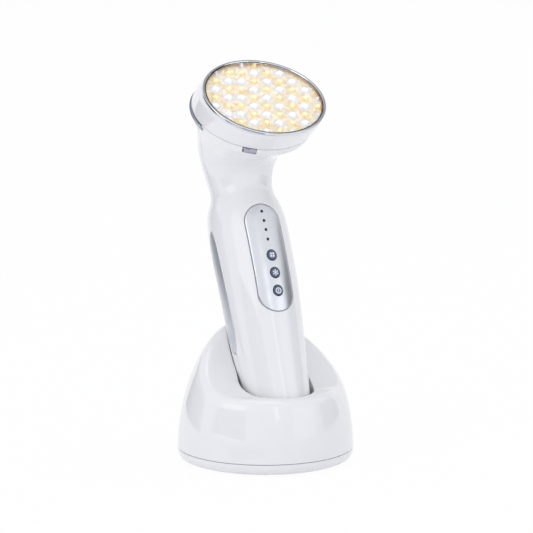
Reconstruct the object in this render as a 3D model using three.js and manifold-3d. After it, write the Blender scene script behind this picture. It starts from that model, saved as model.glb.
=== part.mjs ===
// LED skincare wand standing in its charging cradle.
// Millimetres, +Z up, front towards -Y, origin under the middle of the cradle's pad.

import * as THREE from 'three';
import { mergeVertices } from 'three/addons/utils/BufferGeometryUtils.js';
import Module from 'manifold-3d';

const wasm = await Module();
wasm.setup();

// Driving dimensions, shared

const GAP = 0.3;
const FAR_OUT = 60;
const OVERCUT = 5;
const SIDES = 32;
const INNER_SIDES = 16;
const ROUND_SIDES = 12;
const SMALL_SIDES = 8;
const CURVE_STEPS = 4;

// Driving dimensions, handset
// Its own frame: origin at the foot, +z up the handle, -y the front, +y the back.

const LEAN_DEG = 25;
const FOOT_Y = -22.3;
const FOOT_Z = 21.4;

const WALL = 2.6;
const CUP_WALL = 4.2;
const FOOT_CAP_HEIGHT = 3.6;
const FOOT_ROUNDING = 2.4;
const SPIGOT_WALL = 1.6;
const SPIGOT_HEIGHT = 3.5;
const SPIGOT_CLEARANCE = 0.4;

// Handle sections: height, half width, front and back
const HANDLE_SECTIONS = [
  [0, 15.9, -17.9, 19.4],
  [14, 16.8, -18.6, 20.7],
  [28, 17.8, -19.8, 21.9],
  [44, 18.9, -21.2, 22.8],
  [60, 19.7, -22.7, 23.2],
  [74, 20.2, -23.5, 23.3],
  [88, 20.5, -23.2, 23.9],
  [101, 20.5, -22.5, 24.0],
  [111, 19.9, -21.2, 23.4],
  [118, 18.3, -19.1, 21.9],
];

// Neck sections: front point (y, z), back point (y, z), half width
const NECK_SECTIONS = [
  [-17.2, 123.0, 17.8, 123.8, 16.5],
  [-17.3, 127.9, 16.8, 130.4, 16.6],
  [-18.8, 131.8, 16.6, 139.0, 17.9],
  [-22.0, 134.5, 15.3, 148.9, 19.8],
  [-28.0, 135.0, 10.5, 158.8, 22.3],
];

// Cup sections, measured from the seam's own edges: step of the front point (y, z), step of the
// back point (y, z), and how far the half width is drawn in
const CUP_SECTIONS = [
  [16.4, 0.0, 14.3, -17.1, 7.7],
  [8.0, -1.1, 6.7, -9.3, 4.0],
  [2.4, -1.5, 1.2, -3.0, 1.5],
];
const HANDLE_RINGS_PER_SPAN = 1;
const NECK_RINGS_PER_SPAN = 2;

// Head: a disc that faces forward and up, and a drum that leans back to the cup
const HEAD_TURN_DEG = 52;
const FACE_Y = -49.8;
const FACE_Z = 163.1;
const SEAM_DEPTH = 16.1;
const SEAM_SHIFT = 8.3;
const SEAM_RADIUS = 32.6;
const DRUM_BULGE = 0.3;
const DRUM_TOP_INSET = 0.7;
const DRUM_WALL = 1.2;
const BEZEL_INSET = 0.1;
const BEZEL_WIDTH = 2.3;
const BEZEL_HEIGHT = 1.4;
const BEZEL_PROUD = 0.5;
const LENS_THICKNESS = 0.6;
const LENS_SINK = 0.2;
const LED_PITCH_A = [6.82, -0.91];
const LED_PITCH_B = [2.73, 6.87];
const LED_START = [5.05, 8.2];
const LED_RADIUS = 2.3;
const LED_HEIGHT = 2.0;
const LED_EDGE = 0.2;
const LED_SPAN = 6;
const LED_SIDES = 6;
const LED_BOARD_CLEARANCE = 1.3;
const LED_BOARD_SHIFT = 1.2;
const LED_BOARD_TOP = -3.1;
const LED_BOARD_THICKNESS = 1.0;
const SHELF_WIDTH = 2.4;
const SHELF_THICKNESS = 1.4;

// Chrome trim ring under the drum, seen in two notches of the cup's rim
const TRIM_DEPTH = 3.4;
const TRIM_WALL = 1.2;
const TRIM_RING_WIDTH = 2.1;
const TRIM_RING_ROOM = 1.0;
const TRIM_BAND_FROM_DEG = -13;
const TRIM_BAND_TO_DEG = 193;
const TRIM_TAB_DEG = 246;
const TRIM_TAB_SPAN_DEG = 13.4;
const TRIM_STEP_DEG = 12;

// Control panel, its buttons and its four light pips, down the front of the handle
const PANEL_TOP_Z = 113.9;
const PANEL_BOTTOM_Z = 56.3;
const PANEL_WIDTH = 19.2;
const PANEL_THICKNESS = 1.2;
const PIP_HEIGHTS = [109.9, 104.7, 99.7, 94.5];
const PIP_RADIUS = 0.75;
const GUIDE_WIDTH = 3.6;
const GUIDE_END = 1.5;
const BUTTON_HEIGHTS = { mode: 85.9, level: 76.4, power: 66.8 };
const BUTTON_RADIUS = 3.0;
const BUTTON_PROUD = 0.5;
const BUTTON_FLANGE_RADIUS = 4.1;
const BUTTON_FLANGE_THICKNESS = 0.9;
const BUTTON_TRAVEL = 0.4;
const SWITCH_SIZE = 6.0;
const SWITCH_SLACK = 0.2;
const PLUNGER_RADIUS = 1.6;
const PLUNGER_HEIGHT = 0.8;

// Side grips on the parting line
const GRIP_TOP_Z = 106;
const GRIP_BOTTOM_Z = 41;
const GRIP_WIDTH = 8.4;
const GRIP_SET_BACK = 1.5;
const GRIP_THICKNESS = 1.2;
const GRIP_STEPS = 10;
const GRIP_TIP_FULLNESS = 1.9;

// Inside the handle
const BOARD_WIDTH = 17;
const BOARD_THICKNESS = 1.2;
const BOARD_Y = -13.4;
const BOARD_BOTTOM_Z = 52;
const BOARD_TOP_Z = 114;
const BOARD_POST_RADIUS = 1.6;
const BOARD_POST_X = 5.6;
const BATTERY_RADIUS = 9.2;
const BATTERY_LENGTH = 65;
const BATTERY_BOTTOM_Z = 41;
const BATTERY_Y = 2.6;
const BATTERY_BUTTON_RADIUS = 3;
const BATTERY_BUTTON_HEIGHT = 1.6;
const TRAY_WALL = 1.4;
const TRAY_END = 1.6;
const TRAY_RIB_HEIGHTS = [50, 97];
const TRAY_RIB_THICKNESS = 1.8;
const TRAY_RIB_HALF_WIDTH = 6;
const LEAD_RADIUS = 1.3;
const LEAD_RISE = 8;
const SCREW_Z = 13;
const SCREW_RADIUS = 1.2;
const SCREW_HEAD_RADIUS = 2.4;
const SCREW_HEAD_THICKNESS = 1.6;
const SCREW_BOSS_RADIUS = 3.4;
const SCREW_SINK = 3.0;
const SCREW_GRIP = 7.0;

// Charging contacts in the foot and the sprung pins under them
const CONTACT_X = 6.0;
const CONTACT_RADIUS = 2.6;
const CONTACT_RECESS = 1.0;
const CONTACT_THICKNESS = 3.4;
const CONTACT_FLANGE = 0.9;
const CONTACT_FLANGE_THICKNESS = 0.8;
const PIN_RADIUS = 1.1;
const PIN_FLANGE_RADIUS = 1.8;
const PIN_FLANGE_THICKNESS = 0.8;
const PIN_TRAVEL = 0.8;
const PIN_STEM = 7.4;
const BARREL_RADIUS = 2.7;
const BARREL_LENGTH = 8.0;
const BARREL_FLOOR = 0.8;
const BLOCK_SIZE = [21, 9.5, 5.6];

// Driving dimensions, cradle

const BASE_RADIUS = 45.7;
const SEAM_Z = 7.0;
const BASE_BOTTOM_Z = 0.8;
const BASE_FOOT_INSET = 2.5;
const BASE_SEAM_GAP = 0.25;
const DOME_HEIGHT = 73;
const DOME_POWER = 1.9;
const LIP_Z = 39.6;
const SCOOP_START_Y = -27;
const SCOOP_RISE = 0.0162;
const RIM_BLEND = 9;
const CRADLE_WALL = 2.2;
const DOME_SIDES = 48;
const DOME_RINGS = [6, 3];
const HOLLOW_RINGS = [4, 2];
const CREST_STEPS = [-1, -0.4, 0, 0.4, 1];
const SEARCH_STEPS = 30;
const FOOT_STEP = 0.2;
const POCKET_CLEARANCE = 0.8;
const MOUTH_CLEARANCE = 2.2;
const MOUTH_Z = 22;
const WELL_WALL = 2.0;
const WELL_TOP_Z = 84;
const WELL_RINGS = 7;
const PAD_RADIUS = 31;
const PAD_THICKNESS = 1.0;
const PLATE_THICKNESS = 2.2;
const BALLAST_RADIUS = 25;
const BALLAST_Y = -12;
const BALLAST_HEIGHT = 4.2;
const BASE_SCREW_RING = 37.6;
const BASE_SCREW_ANGLES_DEG = [45, 135, 225, 315];
const BASE_BOSS_RADIUS = 3.3;
const BASE_BOSS_TOP_Z = 20;
const BASE_RIB_THICKNESS = 1.8;
const BASE_SCREW_LENGTH = 10;
const JACK_SIZE = [9, 14, 11];
const JACK_CLEARANCE = 1.0;
const JACK_BORE_RADIUS = 3.2;
const JACK_BORE_DEPTH = 9;
const JACK_PIN_RADIUS = 1.05;
const JACK_WINDOW_RADIUS = 4.0;
const CRADLE_BOARD_SIZE = [22, 21, 1.2];
const CRADLE_BOARD_Z = 9.0;
const JACK_OVERHANG = 3.2;
const BOARD_HOLE_STEP = [8, 7];
const POST_RADIUS = 1.8;

// Radii that follow the seam and the base

const drumBulgeRadius = SEAM_RADIUS + DRUM_BULGE;
const drumTopRadius = SEAM_RADIUS - DRUM_TOP_INSET;
const bezelRadius = SEAM_RADIUS - BEZEL_INSET;
const bezelOpening = bezelRadius - BEZEL_WIDTH;
const ledBoardRadius = drumTopRadius - DRUM_WALL - LED_BOARD_CLEARANCE;
const baseFootRadius = BASE_RADIUS - BASE_FOOT_INSET;

// Solids

function solidOf(geometry) {
  const bare = geometry.index ? geometry.clone() : geometry;
  bare.deleteAttribute('normal');
  bare.deleteAttribute('uv');
  const merged = mergeVertices(bare, 1e-4);
  return new wasm.Manifold(new wasm.Mesh({
    numProp: 3,
    vertProperties: new Float32Array(merged.attributes.position.array),
    triVerts: new Uint32Array(merged.index.array),
  }));
}

function geometryOf(solid) {
  const mesh = solid.getMesh();
  const geometry = new THREE.BufferGeometry();
  geometry.setAttribute('position', new THREE.BufferAttribute(new Float32Array(mesh.vertProperties), 3));
  geometry.setIndex(new THREE.BufferAttribute(new Uint32Array(mesh.triVerts), 1));
  geometry.computeVertexNormals();
  return geometry;
}

// A solid through a stack of closed rings of points, with a flat fan at each end
function skin(rings) {
  const sides = rings[0].length;
  const points = rings.flat();
  const index = [];
  for (let k = 0; k + 1 < rings.length; k += 1) {
    for (let i = 0; i < sides; i += 1) {
      const a = k * sides + i;
      const b = k * sides + ((i + 1) % sides);
      index.push(a, b, b + sides, a, b + sides, a + sides);
    }
  }
  const fan = (ring, flip) => {
    const centre = new THREE.Vector3();
    rings[ring].forEach((point) => centre.addScaledVector(point, 1 / sides));
    points.push(centre);
    const hub = points.length - 1;
    for (let i = 0; i < sides; i += 1) {
      const a = ring * sides + i;
      const b = ring * sides + ((i + 1) % sides);
      index.push(hub, flip ? b : a, flip ? a : b);
    }
  };
  fan(0, true);
  fan(rings.length - 1, false);
  const geometry = new THREE.BufferGeometry();
  geometry.setAttribute('position', new THREE.Float32BufferAttribute(points.flatMap((p) => [p.x, p.y, p.z]), 3));
  geometry.setIndex(index);
  return solidOf(geometry);
}

function box(width, depth, height, x, y, z) {
  return solidOf(new THREE.BoxGeometry(width, depth, height).translate(x, y, z));
}

// A cylinder that stands on (x, y, z) and rises by height along +z
function post(radius, height, x, y, z, sides = ROUND_SIDES) {
  const geometry = new THREE.CylinderGeometry(radius, radius, height, sides);
  return solidOf(geometry.rotateX(Math.PI / 2).translate(x, y, z + height / 2));
}

// A cylinder that starts at (x, y, z) and runs by length along +y
function bar(radius, length, x, y, z, sides = ROUND_SIDES) {
  const geometry = new THREE.CylinderGeometry(radius, radius, length, sides);
  return solidOf(geometry.translate(x, y + length / 2, z));
}

function turned(profile, sides = SIDES) {
  const points = profile.map(([r, z]) => new THREE.Vector2(r, z));
  return solidOf(new THREE.LatheGeometry(points, sides).rotateX(Math.PI / 2));
}

// Three.js extrudes along +z: this stands the outline's (u, v) on x and z, along +y
function prismAlongY(shape, from, to) {
  const geometry = new THREE.ExtrudeGeometry(shape, { depth: to - from, bevelEnabled: false, curveSegments: CURVE_STEPS });
  return solidOf(geometry.rotateX(Math.PI / 2).translate(0, to, 0));
}

// The outline's (u, v) on y and z, along +x
function prismAlongX(shape, from, to) {
  const geometry = new THREE.ExtrudeGeometry(shape, { depth: to - from, bevelEnabled: false, curveSegments: CURVE_STEPS });
  return solidOf(geometry.rotateZ(Math.PI / 2).rotateY(Math.PI / 2).translate(from, 0, 0));
}

// Places a solid of one frame in the frame that holds it
function placed(solid, turnDeg, y, z) {
  return solid.rotate([turnDeg, 0, 0]).translate([0, y, z]);
}

// Materials

const MATERIALS = {
  gloss_white: new THREE.MeshStandardMaterial({ color: 0xf4f4f7, roughness: 0.16, metalness: 0 }),
  chrome: new THREE.MeshStandardMaterial({ color: 0xd9dce0, roughness: 0.08, metalness: 1 }),
  silver_panel: new THREE.MeshStandardMaterial({ color: 0xc3c7ce, roughness: 0.32, metalness: 0.5 }),
  silver_grip: new THREE.MeshStandardMaterial({ color: 0xb4b9c1, roughness: 0.4, metalness: 0.4 }),
  button_slate: new THREE.MeshStandardMaterial({ color: 0x4a5468, roughness: 0.35, metalness: 0.1 }),
  smoked_pip: new THREE.MeshStandardMaterial({ color: 0x333338, roughness: 0.2, metalness: 0 }),
  clear_lens: new THREE.MeshStandardMaterial({ color: 0xf5f5f2, roughness: 0.05, metalness: 0 }),
  led_amber: new THREE.MeshStandardMaterial({ color: 0xf6cf7a, roughness: 0.2, metalness: 0 }),
  circuit_board: new THREE.MeshStandardMaterial({ color: 0x2f6f4b, roughness: 0.5, metalness: 0 }),
  black_plastic: new THREE.MeshStandardMaterial({ color: 0x25262a, roughness: 0.45, metalness: 0 }),
  battery_wrap: new THREE.MeshStandardMaterial({ color: 0x3f6fa8, roughness: 0.35, metalness: 0 }),
  steel: new THREE.MeshStandardMaterial({ color: 0xa9adb3, roughness: 0.3, metalness: 1 }),
  brass: new THREE.MeshStandardMaterial({ color: 0xc9a04e, roughness: 0.3, metalness: 1 }),
  rubber: new THREE.MeshStandardMaterial({ color: 0x8b8d92, roughness: 0.85, metalness: 0 }),
};

const product = new THREE.Group();
const handset = new THREE.Group();
handset.rotation.x = THREE.MathUtils.degToRad(-LEAN_DEG);
handset.position.set(0, FOOT_Y, FOOT_Z);
const head = new THREE.Group();
head.rotation.x = THREE.MathUtils.degToRad(HEAD_TURN_DEG);
head.position.set(0, FACE_Y, FACE_Z);
handset.add(head);
product.add(handset);

function add(group, name, solid, material) {
  const mesh = new THREE.Mesh(geometryOf(solid), MATERIALS[material]);
  mesh.name = name;
  group.add(mesh);
}

// Handset body: sections blended into one loft

// Blends the listed sections with a smooth curve through them
function blended(sections, perSpan) {
  const rows = [];
  for (let k = 0; k + 1 < sections.length; k += 1) {
    const before = sections[Math.max(k - 1, 0)];
    const after = sections[Math.min(k + 2, sections.length - 1)];
    for (let s = 0; s < perSpan; s += 1) {
      const t = s / perSpan;
      rows.push(sections[k].map((value, i) => {
        const next = sections[k + 1][i];
        const slopeA = (next - before[i]) / 2;
        const slopeB = (after[i] - value) / 2;
        return value + slopeA * t + (3 * (next - value) - 2 * slopeA - slopeB) * t * t
          + (2 * (value - next) + slopeA + slopeB) * t * t * t;
      }));
    }
  }
  rows.push(sections[sections.length - 1]);
  return rows;
}

// The seam ring, worked out from the head's own frame, closes the list of sections
const headTurn = THREE.MathUtils.degToRad(HEAD_TURN_DEG);
function headPoint(across, depth) {
  return [
    FACE_Y + across * Math.cos(headTurn) + depth * Math.sin(headTurn),
    FACE_Z + across * Math.sin(headTurn) - depth * Math.cos(headTurn),
  ];
}
const seamSection = [
  ...headPoint(SEAM_SHIFT - SEAM_RADIUS, SEAM_DEPTH),
  ...headPoint(SEAM_SHIFT + SEAM_RADIUS, SEAM_DEPTH),
  SEAM_RADIUS,
];
const handleSection = ([z, half, front, back]) => [front, z, back, z, half];
const handleRows = HANDLE_SECTIONS.map(handleSection);
const neckStartZ = handleRows[handleRows.length - 1][3];
const [seamFrontY, seamFrontZ, seamBackY, seamBackZ] = seamSection;
const cupRows = CUP_SECTIONS.map(([frontY, frontZ, backY, backZ, drawnIn]) => [
  seamFrontY + frontY,
  seamFrontZ + frontZ,
  seamBackY + backY,
  seamBackZ + backZ,
  SEAM_RADIUS - drawnIn,
]);
const neckRows = [...NECK_SECTIONS, ...cupRows, seamSection];
const bodySections = [
  ...blended([...handleRows, neckRows[0]], HANDLE_RINGS_PER_SPAN).slice(0, -1),
  ...blended([handleRows[handleRows.length - 1], ...neckRows], NECK_RINGS_PER_SPAN).slice(NECK_RINGS_PER_SPAN),
];

function ellipseRing([frontY, frontZ, backY, backZ, half], inset, sides) {
  const length = Math.hypot(backY - frontY, backZ - frontZ);
  const along = [(backY - frontY) / length, (backZ - frontZ) / length];
  const centre = [(frontY + backY) / 2, (frontZ + backZ) / 2];
  const ring = [];
  for (let i = 0; i < sides; i += 1) {
    const angle = (i / sides) * 2 * Math.PI;
    const reach = (length / 2 - inset) * Math.sin(angle);
    ring.push(new THREE.Vector3(
      (half - inset) * Math.cos(angle),
      centre[0] + along[0] * reach,
      centre[1] + along[1] * reach,
    ));
  }
  return ring;
}

// The handle's section at a height, by the same blend
function handleAt(z) {
  const row = bodySections.findIndex((section) => section[1] > z);
  const [low, high] = [bodySections[Math.max(row - 1, 0)], bodySections[Math.max(row, 1)]];
  const t = (z - low[1]) / (high[1] - low[1]);
  return low.map((value, i) => value + (high[i] - value) * t);
}
const frontSurfaceY = (z) => handleAt(z)[0];

// The loft between two heights of the straight handle, drawn in (or out) by inset
function handleLoft(bottom, top, inset, sides = SIDES) {
  const between = bodySections.filter((section) => section[1] > bottom + 1 && section[1] < top - 1);
  const rows = [handleAt(bottom), ...between, handleAt(top)];
  return skin(rows.map((section) => ellipseRing(section, inset, sides)));
}

// The whole outer form, foot to seam; the rings run up the handle and round into the head
function outerForm() {
  const rows = bodySections.filter((section) => section[1] > FOOT_CAP_HEIGHT + GAP + 1);
  rows.unshift(handleAt(FOOT_CAP_HEIGHT + GAP));
  return skin(rows.map((section) => ellipseRing(section, 0, SIDES)));
}

// The hollow: the wall grows towards the cup, where the skin runs aslant to its sections
function innerForm() {
  const first = FOOT_CAP_HEIGHT + GAP - 1;
  const rows = [handleAt(first), ...handleRows.slice(1), ...neckRows];
  const rings = rows.map((section) => {
    const slant = Math.max(0, Math.min(1, (section[3] - neckStartZ) / (seamBackZ - neckStartZ)));
    return ellipseRing(section, WALL + slant * (CUP_WALL - WALL), INNER_SIDES);
  });
  const [y, z] = headPoint(0, SEAM_DEPTH - CUP_WALL);
  const lift = rings[rings.length - 1].map((point) => point.clone());
  const [seamY, seamZ] = headPoint(0, SEAM_DEPTH);
  lift.forEach((point) => point.add(new THREE.Vector3(0, y - seamY, z - seamZ)));
  return skin([...rings, lift]);
}

// A cutter for all that lies in front of the parting line, which follows the sections' middles
function frontCutter(shift) {
  const middles = bodySections.map(([fy, fz, by, bz]) => [(fy + by) / 2 - shift, (fz + bz) / 2 - shift]);
  const shape = new THREE.Shape();
  shape.moveTo(middles[0][0], -FAR_OUT);
  middles.forEach(([y, z]) => shape.lineTo(y, z));
  const end = middles[middles.length - 1];
  shape.lineTo(end[0] - FAR_OUT * Math.sin(headTurn), end[1] + FAR_OUT * Math.cos(headTurn));
  shape.lineTo(end[0] - 2 * FAR_OUT, end[1] - FAR_OUT);
  shape.lineTo(-FAR_OUT, -FAR_OUT);
  return prismAlongX(shape, -FAR_OUT, FAR_OUT);
}

// Trim ring under the drum, and the notches that show it

// A fan-shaped prism in the head's frame, from one angle to another, between two depths
function sector(fromDeg, toDeg, radius, top, bottom) {
  const steps = Math.max(2, Math.round((toDeg - fromDeg) / TRIM_STEP_DEG));
  const shape = new THREE.Shape();
  shape.moveTo(0, 0);
  for (let k = 0; k <= steps; k += 1) {
    const angle = THREE.MathUtils.degToRad(fromDeg + ((toDeg - fromDeg) * k) / steps);
    shape.lineTo(radius * Math.cos(angle), radius * Math.sin(angle));
  }
  const geometry = new THREE.ExtrudeGeometry(shape, { depth: top - bottom, bevelEnabled: false });
  return solidOf(geometry.translate(0, SEAM_SHIFT, bottom));
}

function seamDisc(radius, top, bottom) {
  return post(radius, top - bottom, 0, SEAM_SHIFT, bottom, SIDES);
}

// All that the trim ring shows through, in the handset's frame
function trimWindows(margin) {
  const top = -SEAM_DEPTH + 1;
  const bottom = -SEAM_DEPTH - TRIM_DEPTH - margin;
  const slack = THREE.MathUtils.radToDeg(margin / SEAM_RADIUS);
  const radius = SEAM_RADIUS + 6;
  const half = TRIM_TAB_SPAN_DEG / 2;
  const band = sector(TRIM_BAND_FROM_DEG - slack, TRIM_BAND_TO_DEG + slack, radius, top, bottom);
  const tab = sector(TRIM_TAB_DEG - half - slack, TRIM_TAB_DEG + half + slack, radius, top, bottom);
  return placed(band.add(tab), HEAD_TURN_DEG, FACE_Y, FACE_Z);
}

// Handset shells

const innerFrontY = (z) => frontSurfaceY(z) + WALL;
const innerBackY = (z) => handleAt(z)[2] - WALL;

function panelShape(grow) {
  const half = PANEL_WIDTH / 2;
  const shape = new THREE.Shape();
  shape.absarc(0, PANEL_TOP_Z - half, half + grow, 0, Math.PI, false);
  shape.absarc(0, PANEL_BOTTOM_Z + half, half + grow, Math.PI, 2 * Math.PI, false);
  return shape;
}

// A long leaf with rounded tips over the parting line, a little more of it on the rear shell
function gripShape(grow) {
  const [low, high] = [GRIP_BOTTOM_Z, GRIP_TOP_Z];
  const edge = (share, side) => {
    const z = low - grow + (high - low + 2 * grow) * share;
    const section = handleAt(z);
    const middle = (section[0] + section[2]) / 2 + GRIP_SET_BACK;
    const reach = (GRIP_WIDTH / 2 + grow) * Math.min(1, Math.sqrt(Math.sin(Math.PI * share) * GRIP_TIP_FULLNESS));
    return new THREE.Vector2(middle + side * reach, z);
  };
  const up = [];
  const down = [];
  for (let k = 0; k < GRIP_STEPS; k += 1) {
    const share = 0.5 - 0.5 * Math.cos((Math.PI * k) / GRIP_STEPS);
    up.push(edge(share, 1));
    down.push(edge(1 - share, -1));
  }
  const shape = new THREE.Shape([...up, ...down]);
  return shape;
}

const panelLoftEnds = [PANEL_BOTTOM_Z - 2, PANEL_TOP_Z + 2];
const gripLoftEnds = [GRIP_BOTTOM_Z - 2, GRIP_TOP_Z + 2];

function panelRecess() {
  return prismAlongY(panelShape(GAP), -FAR_OUT, -OVERCUT)
    .subtract(handleLoft(panelLoftEnds[0], panelLoftEnds[1], PANEL_THICKNESS + GAP));
}

function gripRecess(sign) {
  const [from, to] = sign > 0 ? [OVERCUT, FAR_OUT] : [-FAR_OUT, -OVERCUT];
  return prismAlongX(gripShape(GAP), from, to)
    .subtract(handleLoft(gripLoftEnds[0], gripLoftEnds[1], GRIP_THICKNESS + GAP));
}

const buttonEntries = Object.entries(BUTTON_HEIGHTS);
const skinForm = outerForm();
const cupShell = skinForm.subtract(innerForm()).subtract(trimWindows(0));
const grips = gripRecess(1).add(gripRecess(-1));
const screwBackY = handleAt(SCREW_Z)[2];
const screwSplitY = (handleAt(SCREW_Z)[0] + handleAt(SCREW_Z)[2]) / 2;

function frontShell() {
  const cutter = frontCutter(GAP / 2);
  let shell = cupShell.intersect(cutter).subtract(grips).subtract(panelRecess());
  const bossStart = frontSurfaceY(SCREW_Z) + 1;
  shell = shell.add(bar(SCREW_BOSS_RADIUS, screwSplitY - GAP / 2 - bossStart, 0, bossStart, SCREW_Z));
  shell = shell.subtract(bar(SCREW_RADIUS + GAP, FAR_OUT, 0, -SCREW_GRIP - 1, SCREW_Z, SMALL_SIDES));
  for (const z of [BOARD_BOTTOM_Z + 2, BOARD_TOP_Z - 2]) {
    for (const x of [-BOARD_POST_X, BOARD_POST_X]) {
      const start = innerFrontY(z);
      const end = BOARD_Y - BOARD_THICKNESS / 2 - GAP;
      shell = shell.add(bar(BOARD_POST_RADIUS, end - start, x, start, z, SMALL_SIDES));
    }
  }
  for (const [, z] of buttonEntries) {
    shell = shell.subtract(bar(BUTTON_RADIUS + GAP, FAR_OUT, 0, frontSurfaceY(z) - OVERCUT, z));
    shell = shell.subtract(bar(BUTTON_FLANGE_RADIUS + GAP, OVERCUT, 0, innerFrontY(z), z));
  }
  for (const z of PIP_HEIGHTS) {
    shell = shell.subtract(bar(PIP_RADIUS + GAP, 2 * OVERCUT, 0, frontSurfaceY(z) - OVERCUT, z, SMALL_SIDES));
  }
  return shell;
}

function rearShell() {
  let shell = cupShell.subtract(frontCutter(-GAP / 2)).subtract(grips);
  const bossStart = screwSplitY + GAP / 2;
  shell = shell.add(bar(SCREW_BOSS_RADIUS, screwBackY - 1 - bossStart, 0, bossStart, SCREW_Z));
  shell = shell.subtract(bar(SCREW_RADIUS + GAP, FAR_OUT, 0, 0, SCREW_Z, SMALL_SIDES));
  shell = shell.subtract(bar(SCREW_HEAD_RADIUS + GAP, FAR_OUT, 0, screwBackY - SCREW_SINK, SCREW_Z));
  const reach = BATTERY_RADIUS + GAP + TRAY_WALL;
  for (const z of TRAY_RIB_HEIGHTS) {
    const from = BATTERY_Y + reach * 0.8;
    const to = innerBackY(z) + 1;
    const rib = box(2 * TRAY_RIB_HALF_WIDTH, to - from, TRAY_RIB_THICKNESS, 0, (from + to) / 2, z)
      .subtract(post(reach + GAP, 2 * TRAY_RIB_THICKNESS, 0, BATTERY_Y, z - TRAY_RIB_THICKNESS, INNER_SIDES));
    shell = shell.add(rib);
  }
  return shell;
}

add(handset, 'front_shell', frontShell(), 'gloss_white');
add(handset, 'rear_shell', rearShell(), 'gloss_white');

const gripSkin = handleLoft(gripLoftEnds[0], gripLoftEnds[1], 0)
  .subtract(handleLoft(gripLoftEnds[0] - 1, gripLoftEnds[1] + 1, GRIP_THICKNESS));
add(handset, 'side_grip_right', prismAlongX(gripShape(0), OVERCUT, FAR_OUT).intersect(gripSkin), 'silver_grip');
add(handset, 'side_grip_left', prismAlongX(gripShape(0), -FAR_OUT, -OVERCUT).intersect(gripSkin), 'silver_grip');

// Control panel, buttons, light guide and switches

let panel = handleLoft(panelLoftEnds[0], panelLoftEnds[1], 0)
  .subtract(handleLoft(panelLoftEnds[0] - 1, panelLoftEnds[1] + 1, PANEL_THICKNESS))
  .intersect(prismAlongY(panelShape(0), -FAR_OUT, -OVERCUT));
for (const [, z] of buttonEntries) {
  panel = panel.subtract(bar(BUTTON_RADIUS + GAP, 2 * OVERCUT, 0, frontSurfaceY(z) - OVERCUT, z));
}
for (const z of PIP_HEIGHTS) {
  panel = panel.subtract(bar(PIP_RADIUS + GAP, 2 * OVERCUT, 0, frontSurfaceY(z) - OVERCUT, z, SMALL_SIDES));
}
add(handset, 'control_panel', panel, 'silver_panel');

const boardFrontY = BOARD_Y - BOARD_THICKNESS / 2;
const guideFrontY = innerFrontY(PIP_HEIGHTS[0]) + 2 * GAP;
const guideHeight = PIP_HEIGHTS[0] - PIP_HEIGHTS[3] + 2 * GUIDE_END;
const guideMiddleZ = (PIP_HEIGHTS[0] + PIP_HEIGHTS[3]) / 2;
const guideDepth = boardFrontY - GAP - guideFrontY;
let lightGuide = box(GUIDE_WIDTH, guideDepth, guideHeight, 0, guideFrontY + guideDepth / 2, guideMiddleZ);
for (const z of PIP_HEIGHTS) {
  lightGuide = lightGuide.add(bar(PIP_RADIUS, guideFrontY + 1 - frontSurfaceY(z), 0, frontSurfaceY(z), z, SMALL_SIDES));
}
add(handset, 'light_guide', lightGuide, 'smoked_pip');

for (const [name, z] of buttonEntries) {
  const tip = frontSurfaceY(z) - BUTTON_PROUD;
  const flangeFront = innerFrontY(z) + GAP;
  const back = flangeFront + BUTTON_FLANGE_THICKNESS;
  const button = bar(BUTTON_RADIUS, back - tip, 0, tip, z)
    .add(bar(BUTTON_FLANGE_RADIUS, BUTTON_FLANGE_THICKNESS, 0, flangeFront, z));
  add(handset, `${name}_button`, button, 'button_slate');
  const plungerFront = back + BUTTON_TRAVEL + SWITCH_SLACK;
  const caseFront = plungerFront + PLUNGER_HEIGHT;
  const caseDepth = boardFrontY - GAP - caseFront;
  const key = box(SWITCH_SIZE, caseDepth, SWITCH_SIZE, 0, caseFront + caseDepth / 2, z)
    .add(bar(PLUNGER_RADIUS, PLUNGER_HEIGHT + 0.4, 0, plungerFront, z, SMALL_SIDES));
  add(handset, `${name}_switch`, key, 'black_plastic');
}

const boardHeight = BOARD_TOP_Z - BOARD_BOTTOM_Z;
const boardMiddleZ = (BOARD_TOP_Z + BOARD_BOTTOM_Z) / 2;
add(handset, 'main_board', box(BOARD_WIDTH, BOARD_THICKNESS, boardHeight, 0, BOARD_Y, boardMiddleZ), 'circuit_board');

// Battery and the tray that holds it against the rear shell

const cell = post(BATTERY_RADIUS, BATTERY_LENGTH - BATTERY_BUTTON_HEIGHT, 0, BATTERY_Y, BATTERY_BOTTOM_Z, INNER_SIDES)
  .add(post(BATTERY_BUTTON_RADIUS, BATTERY_LENGTH, 0, BATTERY_Y, BATTERY_BOTTOM_Z));
add(handset, 'battery', cell, 'battery_wrap');

const trayInner = BATTERY_RADIUS + GAP;
const trayOuter = trayInner + TRAY_WALL;
const trayBottom = BATTERY_BOTTOM_Z - GAP - TRAY_END;
const trayHeight = BATTERY_LENGTH + 2 * (GAP + TRAY_END);
const backHalf = box(4 * trayOuter, 2 * trayOuter, 2 * trayHeight, 0, BATTERY_Y + trayOuter, trayBottom + trayHeight / 2);
const tray = post(trayOuter, trayHeight, 0, BATTERY_Y, trayBottom, INNER_SIDES)
  .subtract(post(trayInner, BATTERY_LENGTH + 2 * GAP, 0, BATTERY_Y, BATTERY_BOTTOM_Z - GAP, INNER_SIDES))
  .intersect(backHalf);
add(handset, 'battery_tray', tray, 'black_plastic');

// Screw that draws the two shells together, low on the back

const screwHeadY = screwBackY - SCREW_SINK + GAP;
const shellScrew = bar(SCREW_RADIUS, screwHeadY + SCREW_GRIP + 0.5, 0, -SCREW_GRIP, SCREW_Z, SMALL_SIDES)
  .add(bar(SCREW_HEAD_RADIUS, SCREW_HEAD_THICKNESS, 0, screwHeadY, SCREW_Z));
add(handset, 'shell_screw', shellScrew, 'steel');

// Foot cap with the two charging contacts

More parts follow.
